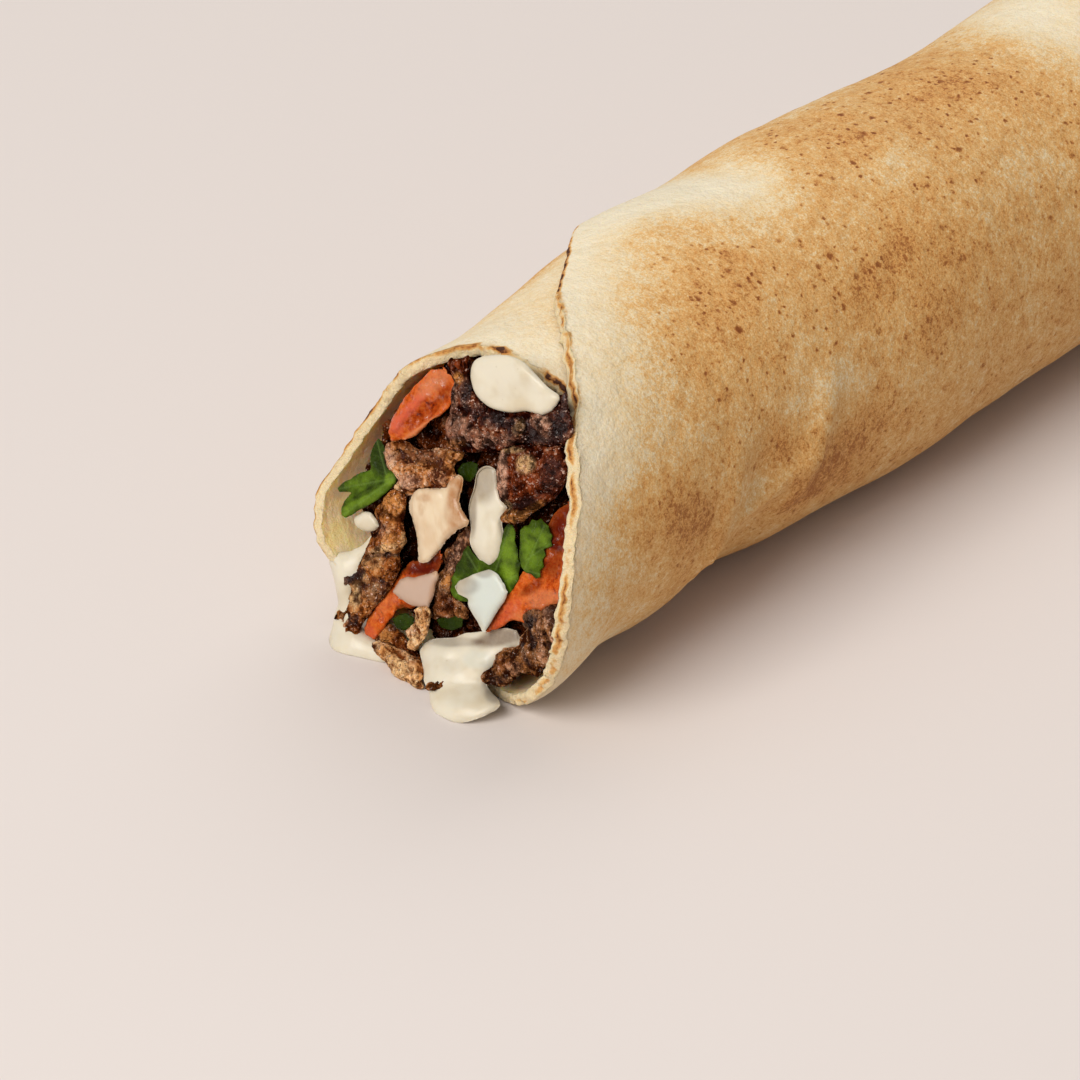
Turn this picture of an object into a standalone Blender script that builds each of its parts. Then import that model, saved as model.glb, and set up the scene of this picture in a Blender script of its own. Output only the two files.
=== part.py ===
"""A rolled shawarma sandwich, lying on its belly with the open mouth at -X.

One sheet of flatbread is wound a turn and a half round a filling of shaved meat. Its round front
edge runs back across the top as a slanting seam, and its far end is folded shut. Pieces of meat,
tomato, onion, parsley and sauce stand in the mouth, each as a solid of its own.
"""

import math

import bmesh
import bpy
from mathutils import Matrix, Vector, noise

MM = 0.001

# The roll. The origin is on the belly, halfway along, and +Z is up.
ROLL_LENGTH = 224 * MM
MOUTH_X = -ROLL_LENGTH / 2
MOUTH_SIDE = -4 * MM  # the mouth is bent this far to one side of the roll's axis
BEND_LENGTH = 80 * MM
BREAD_THICKNESS = 2.2 * MM
LAYER_GAP = 0.5 * MM
LAYER_PITCH = BREAD_THICKNESS + LAYER_GAP
CLEARANCE = 0.35 * MM  # between solids that lie against each other

# The radius inside the first turn, at distances from the mouth.
WRAP_RADII = (
    (0, 26.8 * MM),
    (60 * MM, 27.4 * MM),
    (100 * MM, 28.0 * MM),
    (145 * MM, 27.1 * MM),
    (224 * MM, 27.2 * MM),
)
# Angles round the roll run from +Y, up through +Z at 90 degrees to -Y at 180.
WRAP_START = 150.0
WRAP_END_TURN = 556.0
BELLY_TURN = 240.0  # the turn that lies underneath
COLUMN_STEP = 12.0
ROW_CROWDING = 1.4  # a power that crowds the rows of faces towards the mouth

# The front edge of the sheet: degrees wound from the inner corner, distance from the mouth plane.
FRONT_EDGE = (
    (0, 16 * MM),
    (40, 16 * MM),
    (68, 15.8 * MM),
    (82, 15 * MM),
    (100, 11.5 * MM),
    (120, 12.8 * MM),
    (140, 10.8 * MM),
    (150, 7 * MM),
    (160, 1.5 * MM),
    (172, -1.5 * MM),
    (190, -1 * MM),
    (215, 1 * MM),
    (250, 1 * MM),
    (290, -3 * MM),
    (320, -5 * MM),
    (336, -4 * MM),
    (352, -0.5 * MM),
    (376, 7 * MM),
    (400, 19 * MM),
    (424, 30.5 * MM),
    (440, 43.5 * MM),
    (456, 57 * MM),
    (476, 76 * MM),
    (500, 102 * MM),
    (530, 142 * MM),
    (556, 188 * MM),
)
# Swells and pinches of the roll: distance from the mouth, angle round it, length, degrees, height.
SWELLS = (
    (0, -9, 18 * MM, 22, 3.8 * MM),
    (0, -135, 7 * MM, 40, 1.4 * MM),
    (15 * MM, -135, 9 * MM, 40, -1.4 * MM),
    (47 * MM, -135, 11 * MM, 42, -2.1 * MM),
    (95 * MM, -132, 28 * MM, 50, 1.3 * MM),
    (112 * MM, -140, 20 * MM, 50, 0.6 * MM),
    (28 * MM, 48, 12 * MM, 45, -0.9 * MM),
    (62 * MM, 48, 13 * MM, 45, 1.3 * MM),
    (85 * MM, 58, 12 * MM, 55, -1.2 * MM),
    (155 * MM, 50, 14 * MM, 60, -0.7 * MM),
    (186 * MM, 60, 16 * MM, 70, 1.4 * MM),
)

# The folded end: a rounded shoulder that turns inwards, then pleats down into a dimple.
SHOULDER_RADIUS = 12 * MM
FOLD_PLANE = ROLL_LENGTH - 5.5 * MM
UNDERLAP_TURN = 168.0  # where the fold's underlying edge starts
DIMPLE_DEPTH = 5 * MM
DIMPLE_RADIUS = 3 * MM
PLEAT_HEIGHT = 1.5 * MM
PLEAT_COUNT = 7
STRAIGHT_ROWS = 14
FOLD_ROWS = 8
MOUTH_ROWS = 5
FOLD_LEAD = 4 * MM  # the fold's rows start this far before its shoulder

# The belly is pressed flat where it rests.
BELLY_PRESS = 1.2 * MM
BELLY_BLEND = 0.6 * MM
RELIEF = 0.55 * MM
RELIEF_PITCH = 26 * MM

# The filling's front stands at a slope inside the mouth, lower parts further out.
FACE_FOOT = -2 * MM
FACE_SLOPE = 0.2456
CORE_SETBACK = 3.5 * MM
CORE_GAP = 1.0 * MM
CORE_BULGE = 3 * MM
CORE_LUMPS = 2.2 * MM
CORE_EDGE = 0.07  # how much the core is rounded off at its two ends
CORE_END_GAP = 5 * MM  # from the meat to the dimple's floor
STEP_TURN, STEP_DEGREES = 318, 38  # where the meat steps in under the sheet's inner corner
CORE_SEGMENTS, CORE_FACE_RINGS, CORE_SIDE_RINGS, CORE_END_RINGS = 30, 3, 11, 2
CORE_RING_COUNT = CORE_FACE_RINGS + CORE_SIDE_RINGS + CORE_END_RINGS

FACING = (-0.83, -0.3, 0.4)  # the way most pieces look, out of the mouth and up
LEAF_FACING = (-0.7, -0.52, 0.48)
STRIP_SEGMENTS, STRIP_RINGS = 10, 9
LUMP_PITCH = 3.4 * MM
TOMATO_THICKNESS = 4.4 * MM
TOMATO_ROUNDING = 0.7 * MM
LEAF_THICKNESS = 0.5 * MM
LEAF_AROUND, LEAF_RINGS = 28, 2
LEAF_HEART = 0.22  # the least reach of a leaflet, as a share of its size


def clear_scene():
    """Removes whatever the scene holds."""
    for existing in list(bpy.data.objects):
        bpy.data.objects.remove(existing, do_unlink=True)


def new_collection(name):
    """A collection in the scene, for the food or for its cutters."""
    collection = bpy.data.collections.new(name)
    bpy.context.scene.collection.children.link(collection)
    return collection


def finish_of(name, colour, roughness):
    """A Principled material of one colour."""
    made = bpy.data.materials.new(name)
    made.use_nodes = True
    shader = made.node_tree.nodes["Principled BSDF"]
    shader.inputs["Base Color"].default_value = (*colour, 1)
    shader.inputs["Roughness"].default_value = roughness
    shader.inputs["Metallic"].default_value = 0
    return made


def object_from(bm, name, collection, finish=None):
    """An object that holds the bmesh, shaded smooth, in the collection."""
    mesh = bpy.data.meshes.new(name)
    bm.to_mesh(mesh)
    bm.free()
    mesh.shade_smooth()
    made = bpy.data.objects.new(name, mesh)
    collection.objects.link(made)
    if finish:
        mesh.materials.append(finish)
    return made


def face_outwards(bm):
    """Turns a closed surface's faces outwards."""
    bmesh.ops.recalc_face_normals(bm, faces=bm.faces)
    if bm.calc_volume(signed=True) < 0:
        bmesh.ops.reverse_faces(bm, faces=bm.faces)


def curve_through(knots, at):
    """The value at a place on the smooth curve through (place, value) knots, which may be vectors."""
    last = len(knots) - 2
    index = next((i for i in range(last + 1) if at <= knots[i + 1][0]), last)
    before, after = knots[index], knots[index + 1]
    span = after[0] - before[0]
    share = min(max((at - before[0]) / span, 0), 1)

    def slope(middle):
        low, high = knots[max(middle - 1, 0)], knots[min(middle + 1, last + 1)]
        return (high[1] - low[1]) * (span / (high[0] - low[0]))

    square, cube = share**2, share**3
    return (
        before[1] * (2 * cube - 3 * square + 1)
        + slope(index) * (cube - 2 * square + share)
        + after[1] * (3 * square - 2 * cube)
        + slope(index + 1) * (cube - square)
    )


def ease(share):
    """A smooth step from 0 to 1."""
    share = min(max(share, 0), 1)
    return share * share * (3 - 2 * share)


def from_mouth(along, side, height):
    """The point this many millimetres behind the mouth plane, towards +Y of its middle, and up."""
    return Vector((MOUTH_X + along * MM, MOUTH_SIDE + side * MM, height * MM))


# ---- the flatbread ----


def wrap_radius(along):
    """Radius of the sheet's middle surface at the start of its winding."""
    return curve_through(WRAP_RADII, along)


def wrap_centre(along):
    """(y, z) of the roll's axis at a distance from the mouth."""
    side = MOUTH_SIDE * (1 - ease(along / BEND_LENGTH))
    first_turn_below = LAYER_PITCH * BELLY_TURN / 360 + BREAD_THICKNESS / 2
    return side, wrap_radius(along) + first_turn_below - BELLY_PRESS


def rest_on(level, height):
    """Presses heights near and below a level onto it, leaving a flat strip with blended sides."""
    over = height - level
    if over < -BELLY_BLEND:
        return level
    if over < BELLY_BLEND:
        return level + (over + BELLY_BLEND) ** 2 / (4 * BELLY_BLEND)
    return height


def wrap_relief(along, angle):
    """Gentle unevenness that all the layers share, and the swells and pinches."""
    around = Vector((along / RELIEF_PITCH, 1.3 * math.cos(angle), 1.3 * math.sin(angle)))
    relief = RELIEF * noise.noise(around)
    for place, direction, length, degrees, height in SWELLS:
        turned = (math.degrees(angle) - direction + 180) % 360 - 180
        relief += height * math.exp(-((turned / degrees) ** 2) - ((along - place) / length) ** 2)
    return relief


def pleats(angle):
    """Depth of the folded end's uneven pleats, from 0 to 1."""
    drift = 0.55 * math.sin(angle + 0.7) + 0.3 * math.sin(2 * angle + 2.1)
    return 0.5 + 0.5 * math.cos(PLEAT_COUNT * angle + 2.4 * drift)


def fold_profile(along_sheet):
    """(distance from the mouth, radius change, outward normal) of the roll's outline along the sheet."""
    shoulder_start = FOLD_PLANE - SHOULDER_RADIUS
    if along_sheet <= shoulder_start:
        return along_sheet, 0.0, (0.0, 1.0)
    turn = (along_sheet - shoulder_start) / SHOULDER_RADIUS
    if turn <= math.pi / 2:
        back = shoulder_start + SHOULDER_RADIUS * math.sin(turn)
        return back, -SHOULDER_RADIUS * (1 - math.cos(turn)), (math.sin(turn), math.cos(turn))
    inwards = (turn - math.pi / 2) * SHOULDER_RADIUS
    share = inwards / fold_reach()
    return FOLD_PLANE - DIMPLE_DEPTH * ease(share), -SHOULDER_RADIUS - inwards, (1.0, 0.0)


def fold_reach():
    """How far the fold runs inwards past the shoulder."""
    return wrap_radius(FOLD_PLANE) - SHOULDER_RADIUS - DIMPLE_RADIUS


def sheet_length():
    """Distance along the sheet from the mouth plane to the dimple."""
    return FOLD_PLANE - SHOULDER_RADIUS + SHOULDER_RADIUS * math.pi / 2 + fold_reach()


def sheet_point(turn, along_sheet):
    """A point of the sheet's middle surface: degrees wound, and distance along the sheet."""
    along, shrink, normal = fold_profile(along_sheet)
    angle = math.radians(WRAP_START - turn)
    offset = LAYER_PITCH * turn / 360
    folding = ease((along_sheet - FOLD_PLANE + SHOULDER_RADIUS) / (2 * SHOULDER_RADIUS))
    relief = wrap_relief(along, angle) * (1 - folding)
    radius = wrap_radius(along) + shrink + normal[1] * (offset + relief)
    along += normal[0] * offset - PLEAT_HEIGHT * folding * pleats(angle)
    side, height = wrap_centre(along)
    height = rest_on(BREAD_THICKNESS / 2, height + radius * math.sin(angle))
    return Vector((MOUTH_X + along, side + radius * math.cos(angle), height))


def sheet_mesh(first_turn, last_turn, rows_kept=None, front_extra=0.0):
    """The open sheet between two turns, as a bmesh. A fold row is only on the outermost turn."""
    columns = round((last_turn - first_turn) / COLUMN_STEP)
    rows = STRAIGHT_ROWS + FOLD_ROWS
    bm = bmesh.new()
    bmesh.ops.create_grid(bm, x_segments=columns, y_segments=rows, size=0.5)
    straight_end = FOLD_PLANE - SHOULDER_RADIUS - FOLD_LEAD
    dropped = []
    for vert in bm.verts:
        column = round((vert.co.x + 0.5) * columns)
        row = round((vert.co.y + 0.5) * rows)
        turn = first_turn + (last_turn - first_turn) * column / columns
        front = curve_through(FRONT_EDGE, turn) - front_extra * (row == 0)
        if row <= STRAIGHT_ROWS:
            share = (row / STRAIGHT_ROWS) ** ROW_CROWDING
            along_sheet = front + share * (straight_end - front)
        else:
            share = (row - STRAIGHT_ROWS) / FOLD_ROWS
            along_sheet = straight_end + share * (sheet_length() - straight_end)
        vert.co = sheet_point(turn, along_sheet)
        inner_turn = turn < UNDERLAP_TURN and row > STRAIGHT_ROWS
        if inner_turn or (rows_kept is not None and row > rows_kept):
            dropped.append(vert)
    bmesh.ops.delete(bm, geom=dropped, context="VERTS")
    bmesh.ops.recalc_face_normals(bm, faces=bm.faces)
    return bm


def give_thickness(obj, thickness):
    """Makes an open sheet a solid, half its thickness to each side."""
    wall = obj.modifiers.new("thickness", "SOLIDIFY")
    wall.thickness = thickness
    wall.offset = 0


def flatbread(food, finish):
    """The rolled sheet."""
    bread = object_from(sheet_mesh(0, WRAP_END_TURN), "flatbread", food, finish)
    give_thickness(bread, BREAD_THICKNESS)
    return bread


def bread_cutters(cutters):
    """Slightly thicker copies of the sheet round the mouth, one for each turn."""
    made = []
    for number, (first, last) in enumerate(((0, 348), (324, 504))):
        sheet = sheet_mesh(first, last, rows_kept=MOUTH_ROWS, front_extra=CLEARANCE)
        cutter = object_from(sheet, f"bread_clearance_{number}", cutters)
        give_thickness(cutter, BREAD_THICKNESS + 2 * CLEARANCE)
        made.append(cutter)
    return made


# ---- the filling ----


def core_radius(along, angle):
    """Radius of the meat inside the bread, which steps in under the sheet's inner corner."""
    turn = (WRAP_START - math.degrees(angle)) % 360
    wound = turn * (1 - ease((turn - STEP_TURN) / STEP_DEGREES))
    room = wrap_radius(along) + LAYER_PITCH * wound / 360 + wrap_relief(along, angle)
    return room - BREAD_THICKNESS / 2 - CORE_GAP


def shaved_meat(food, finish):
    """The meat that fills the roll from its face in the mouth to the folded end: a ball drawn out."""
    bm = bmesh.new()
    bmesh.ops.create_uvsphere(bm, u_segments=CORE_SEGMENTS, v_segments=CORE_RING_COUNT, radius=1)
    far_end = FOLD_PLANE - DIMPLE_DEPTH - CORE_END_GAP
    for vert in bm.verts:
        polar = math.acos(min(max(vert.co.z, -1), 1))
        ring = round(polar / math.pi * CORE_RING_COUNT)
        angle = math.atan2(vert.co.y, vert.co.x)
        side_ring = ring - CORE_FACE_RINGS
        if side_ring < 0:
            spread, share = ring / CORE_FACE_RINGS, 0.0
        elif side_ring <= CORE_SIDE_RINGS:
            spread, share = 1.0, (side_ring / CORE_SIDE_RINGS) ** ROW_CROWDING
        else:
            spread, share = (CORE_RING_COUNT - ring) / CORE_END_RINGS, 1.0
        bulge = CORE_BULGE * (1 - spread**2)
        lumps = noise.noise(Vector((2.6 * spread * math.cos(angle), 2.6 * spread * math.sin(angle), 4)))
        height_guess = wrap_centre(0)[1] + spread * wrap_radius(0) * math.sin(angle)
        face = FACE_FOOT + FACE_SLOPE * height_guess + CORE_SETBACK
        along = face + share * (far_end - face)
        along += (share == 0) * (CORE_LUMPS * lumps * (1 - spread**4) - bulge / 2)
        along += (share == 1) * bulge
        at_an_end = ring in (CORE_FACE_RINGS, CORE_FACE_RINGS + CORE_SIDE_RINGS)
        radius = spread * (1 - CORE_EDGE * at_an_end) * core_radius(along, angle)
        side, height = wrap_centre(along)
        height = height + radius * math.sin(angle)
        floor = BREAD_THICKNESS + CORE_GAP
        vert.co = Vector((MOUTH_X + along, side + radius * math.cos(angle), rest_on(floor, height)))
    face_outwards(bm)
    return object_from(bm, "shaved_meat", food, finish)


def strip(name, knots, facing, food, finish, fullness=3.0, lumps=0.9, seed=0, root=0.0):
    """A lumpy strip: a ball drawn out along knots of (along, side, height, width, thickness) in mm.

    The root is how much further its far side, away from facing, reaches into the filling.
    """
    spaced = [(index / (len(knots) - 1), Vector(knot)) for index, knot in enumerate(knots)]
    facing = Vector(facing).normalized()
    bm = bmesh.new()
    bmesh.ops.create_uvsphere(bm, u_segments=STRIP_SEGMENTS, v_segments=STRIP_RINGS, radius=1)
    for vert in bm.verts:
        lengthwise = min(max(vert.co.z, -1), 1)
        share = (lengthwise + 1) / 2
        here = curve_through(spaced, share)
        ahead = curve_through(spaced, min(share + 0.02, 1))
        behind = curve_through(spaced, max(share - 0.02, 0))
        tangent = from_mouth(*ahead[:3]) - from_mouth(*behind[:3])
        across = tangent.cross(facing).normalized()
        outwards = across.cross(tangent).normalized()
        girth = (1 - abs(lengthwise) ** fullness) ** (1 / fullness)
        roundness = math.hypot(vert.co.x, vert.co.y) or 1
        sideways = vert.co.x / roundness * girth * here[3] * MM / 2
        through = vert.co.y / roundness * girth * (here[4] + 2 * root * (vert.co.y < 0)) * MM / 2
        spot = from_mouth(*here[:3]) + across * sideways + outwards * through
        swell = noise.noise(spot / LUMP_PITCH + Vector((seed * 7.3, 0, 0)))
        spot += (across * vert.co.x + outwards * vert.co.y) * swell * lumps * MM
        spot.z = max(spot.z, 0.0)
        vert.co = spot
    bmesh.ops.triangulate(bm, faces=bm.faces)
    face_outwards(bm)
    return object_from(bm, name, food, finish)


def placed(bm, centre, normal, upwards):
    """Turns a flat piece so that its +Z is the normal and its +Y points upwards, and moves it."""
    normal = Vector(normal).normalized()
    across = Vector(upwards).cross(normal).normalized()
    turn = Matrix((across, normal.cross(across), normal)).transposed().to_4x4()
    bmesh.ops.transform(bm, matrix=Matrix.Translation(from_mouth(*centre)) @ turn, verts=bm.verts)


def tomato(name, centre, normal, upwards, radius, cuts, food, finish, thickness=TOMATO_THICKNESS):
    """Part of a round slice, cut straight along each (angle, distance from the middle) line."""
    bm = bmesh.new()
    bmesh.ops.create_cone(
        bm, cap_ends=True, segments=36, radius1=radius * MM, radius2=radius * MM, depth=thickness
    )
    for angle, distance in cuts:
        outwards = Vector((math.cos(math.radians(angle)), math.sin(math.radians(angle)), 0))
        everything = bm.verts[:] + bm.edges[:] + bm.faces[:]
        cut = bmesh.ops.bisect_plane(
            bm, geom=everything, plane_co=outwards * distance * MM, plane_no=outwards, clear_outer=True
        )
        edges = [item for item in cut["geom_cut"] if isinstance(item, bmesh.types.BMEdge)]
        bmesh.ops.contextual_create(bm, geom=edges)
    bmesh.ops.bevel(
        bm,
        geom=bm.edges[:],
        offset=TOMATO_ROUNDING,
        offset_type="OFFSET",
        segments=1,
        profile=0.5,
        affect="EDGES",
        clamp_overlap=True,
        material=-1,
    )
    bmesh.ops.remove_doubles(bm, verts=bm.verts, dist=0.05 * MM)
    bmesh.ops.triangulate(bm, faces=bm.faces)
    placed(bm, centre, normal, upwards)
    face_outwards(bm)
    return object_from(bm, name, food, finish)


def leaf_reach(angle, lobes):
    """Distance from a leaflet's heart to its toothed edge, for lobes of (direction, length, spread)."""
    reach = LEAF_HEART
    for direction, length, spread in lobes:
        turned = (angle - direction + 180) % 360 - 180
        if abs(turned) < spread:
            lobe = math.cos(math.radians(turned * 90 / spread)) ** 0.8
            reach = max(reach, length * lobe)
    return reach


def parsley(name, centre, normal, upwards, size, lobes, food, finish, curl=0.22):
    """A parsley leaflet: a thin wavy sheet with pointed lobes."""
    bm = bmesh.new()
    bmesh.ops.create_grid(bm, x_segments=LEAF_AROUND, y_segments=LEAF_RINGS, size=0.5)
    for vert in bm.verts:
        angle = (vert.co.x + 0.5) * 360
        share = vert.co.y + 0.5
        reach = share * leaf_reach(angle, lobes) * size * MM
        east, north = math.cos(math.radians(angle)) * reach, math.sin(math.radians(angle)) * reach
        wave = math.sin(math.radians(2 * angle + 40)) * share**2 * curl - share**2 * curl * 0.6
        vert.co = Vector((east, north, wave * size * MM * 0.5))
    bmesh.ops.remove_doubles(bm, verts=bm.verts, dist=0.01 * MM)
    bmesh.ops.triangulate(bm, faces=bm.faces)
    placed(bm, centre, normal, upwards)
    bmesh.ops.recalc_face_normals(bm, faces=bm.faces)
    made = object_from(bm, name, food, finish)
    give_thickness(made, LEAF_THICKNESS)
    return made


def as_mesh(obj):
    """Gives the object its own evaluated mesh and drops its modifiers."""
    graph = bpy.context.evaluated_depsgraph_get()
    obj.data = bpy.data.meshes.new_from_object(obj.evaluated_get(graph))
    obj.modifiers.clear()


def span(island):
    """The diagonal of the box round some vertices."""
    sides = [[vert.co[axis] for vert in island] for axis in range(3)]
    return math.hypot(*(max(side) - min(side) for side in sides))


def keep_largest(obj):
    """Deletes the loose scraps that a cut left."""
    bm = bmesh.new()
    bm.from_mesh(obj.data)
    bm.verts.ensure_lookup_table()
    unseen, islands = set(bm.verts), []
    while unseen:
        island, front = set(), [unseen.pop()]
        while front:
            vert = front.pop()
            island.add(vert)
            near = {edge.other_vert(vert) for edge in vert.link_edges} & unseen
            unseen -= near
            front.extend(near)
        islands.append(island)
    islands.sort(key=span)
    scraps = [vert for island in islands[:-1] for vert in island]
    bmesh.ops.delete(bm, geom=scraps, context="VERTS")
    bm.to_mesh(obj.data)
    bm.free()


def box_of(obj):
    """The object's lowest and highest corners."""
    corners = [obj.matrix_world @ vert.co for vert in obj.data.vertices]
    return (
        Vector([min(corner[axis] for corner in corners) for axis in range(3)]),
        Vector([max(corner[axis] for corner in corners) for axis in range(3)]),
    )


def boxes_meet(one, other):
    """Whether two objects' boxes overlap."""
    (low_a, high_a), (low_b, high_b) = box_of(one), box_of(other)
    return all(low_a[axis] < high_b[axis] and low_b[axis] < high_a[axis] for axis in range(3))


def swollen_copy(obj, cutters):
    """A copy of the piece that stands out from it by the clearance, for cutting what lies behind."""
    copy = bpy.data.objects.new(f"{obj.name}_clearance", obj.data.copy())
    cutters.objects.link(copy)
    grow = copy.modifiers.new("swell", "DISPLACE")
    grow.strength = CLEARANCE
    grow.mid_level = 0
    bpy.context.view_layer.update()
    as_mesh(copy)
    return copy


def carve(piece, cutters, solver):
    """Cuts the piece where its cutters stand, and keeps it in one body."""
    for cutter in cutters:
        if boxes_meet(piece, cutter):
            cut = piece.modifiers.new(cutter.name, "BOOLEAN")
            cut.operation = "DIFFERENCE"
            cut.solver = solver
            cut.object = cutter
            bpy.context.view_layer.update()
            as_mesh(piece)
            keep_largest(piece)


def fit_together(pieces, core, bread, cutters):
    """Cuts each piece, front to back, where the bread or a piece before it stands, and last the core."""
    bpy.context.view_layer.update()
    for piece in [*pieces, core]:
        as_mesh(piece)
    in_place = list(bread)
    for piece in pieces:
        grown = swollen_copy(piece, cutters)
        carve(piece, in_place, "EXACT")
        in_place.append(grown)
    # So many cuts cross on the core's face that the exact solver loses the body.
    carve(core, in_place, "MANIFOLD")


def hide_cutters(cutters):
    """Leaves the cutters out of the render."""
    for cutter in cutters.objects:
        cutter.hide_render = True
        cutter.display_type = "WIRE"


def greens(food, finish):
    """The three parsley leaflets that show."""
    return [
        parsley(
            "parsley_left", (4.3, 18.6, 31.0), LEAF_FACING, (0, 0, 1), 10.4,
            ((8, 0.26, 60), (100, 0.66, 38), (195, 0.8, 25), (210, 0.62, 34), (226, 1.0, 24)),
            food, finish,
        ),
        parsley(
            "parsley_right", (2.9, -16.1, 31.2), LEAF_FACING, (0, 0, 1), 5.8,
            (
                (82, 0.74, 48), (28, 0.66, 40), (338, 0.5, 40),
                (268, 1.0, 42), (205, 0.52, 50), (140, 0.66, 44),
            ),
            food, finish,
        ),
        parsley(
            "parsley_middle", (3.3, -5.5, 24.6), LEAF_FACING, (0, 0, 1), 9,
            (
                (178, 0.66, 44), (222, 0.92, 36), (268, 0.56, 40), (316, 0.98, 36),
                (2, 0.62, 44), (46, 0.82, 36), (110, 0.5, 50),
            ),
            food, finish,
        ),
    ]


def onions(food, finish):
    """The two pale pieces of onion."""
    return [
        strip(
            "onion_middle",
            (
                (6.7, 6.3, 33.7, 5.9, 2.6), (4.7, 6.2, 30.5, 10.3, 3.4), (3.5, 5.8, 27.0, 8.6, 3.4),
                (2.5, 6.8, 22.8, 5.5, 3.0), (1.9, 7.5, 19.2, 1.7, 2.0),
            ),
            FACING, food, finish, fullness=2.6, lumps=0.5, seed=1, root=3,
        ),
        strip(
            "onion_lower",
            (
                (0.2, 13.8, 11.9, 2.8, 2.2), (0.2, 10.6, 13.4, 4.5, 2.6),
                (0.5, 7.4, 14.7, 5.5, 2.8), (1.2, 3.9, 16.3, 4.8, 2.4),
            ),
            FACING, food, finish, fullness=4, lumps=0.3, seed=2,
        ),
    ]


def sauces(food, finish):
    """Garlic sauce: over the top edge, down the middle, on the leaf, and in pools at the foot."""
    return {
        "top": strip(
            "sauce_top",
            (
                (11.9, 5.3, 53.2, 4.5, 7.0), (11.6, 2.5, 52.4, 7.2, 10.0), (11.7, -3.0, 53.9, 9.3, 11.0),
                (12.2, -8.7, 55.0, 8.3, 10.0), (12.4, -14.1, 55.8, 3.4, 6.0),
            ),
            FACING, food, finish, fullness=3, lumps=0.4, seed=3, root=5,
        ),
        "stream": strip(
            "sauce_stream",
            (
                (8.9, -1.2, 38.0, 2.8, 3.0), (6.7, -2.5, 35.5, 4.5, 4.0), (4.9, -4.1, 31.0, 5.5, 4.4),
                (3.6, -5.6, 27.3, 4.8, 4.0), (2.4, -6.7, 24.1, 2.1, 3.0),
            ),
            FACING, food, finish, lumps=0.3, seed=4,
        ),
        "drop": strip(
            "sauce_drop",
            (
                (1.9, -6.0, 23.7, 6.9, 2.4), (0.9, -6.4, 21.2, 9.0, 3.0), (0.3, -7.4, 18.7, 7.2, 3.0),
                (0.0, -7.6, 15.8, 4.1, 2.8), (-0.4, -7.9, 12.8, 1.4, 2.0),
            ),
            FACING, food, finish, lumps=0.3, seed=5,
        ),
        "dab": strip(
            "sauce_dab",
            ((3.3, 25.5, 21.5, 1.4, 2.0), (2.9, 22.8, 21.3, 2.1, 2.4), (3.0, 20.4, 20.4, 1.7, 2.0)),
            FACING, food, finish, lumps=0.2, seed=17,
        ),
        "pool": strip(
            "sauce_pool",
            (
                (2.8, -2.8, 10.1, 12.1, 5.0), (0.7, -3.7, 8.0, 15.9, 6.0), (-1.5, -3.4, 5.2, 13.4, 7.0),
                (-4.3, -5.0, 3.1, 12.4, 6.5), (-7.5, -9.1, 2.5, 12.1, 5.0), (-9.4, -10.8, 1.1, 6.9, 3.0),
            ),
            FACING, food, finish, fullness=3.6, lumps=0.4, seed=6,
        ),
        "left": strip(
            "sauce_left",
            (
                (2.7, 27.9, 16.0, 6.9, 3.0), (1.4, 25.2, 12.5, 8.3, 4.0), (0.1, 22.8, 8.5, 7.6, 4.4),
                (-1.6, 22.0, 3.6, 8.6, 4.8), (-3.4, 19.6, 1.2, 8.4, 4.6), (-4.6, 14.8, 0.8, 4.6, 3.0),
            ),
            FACING, food, finish, lumps=0.4, seed=7, root=3,
        ),
    }


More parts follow.
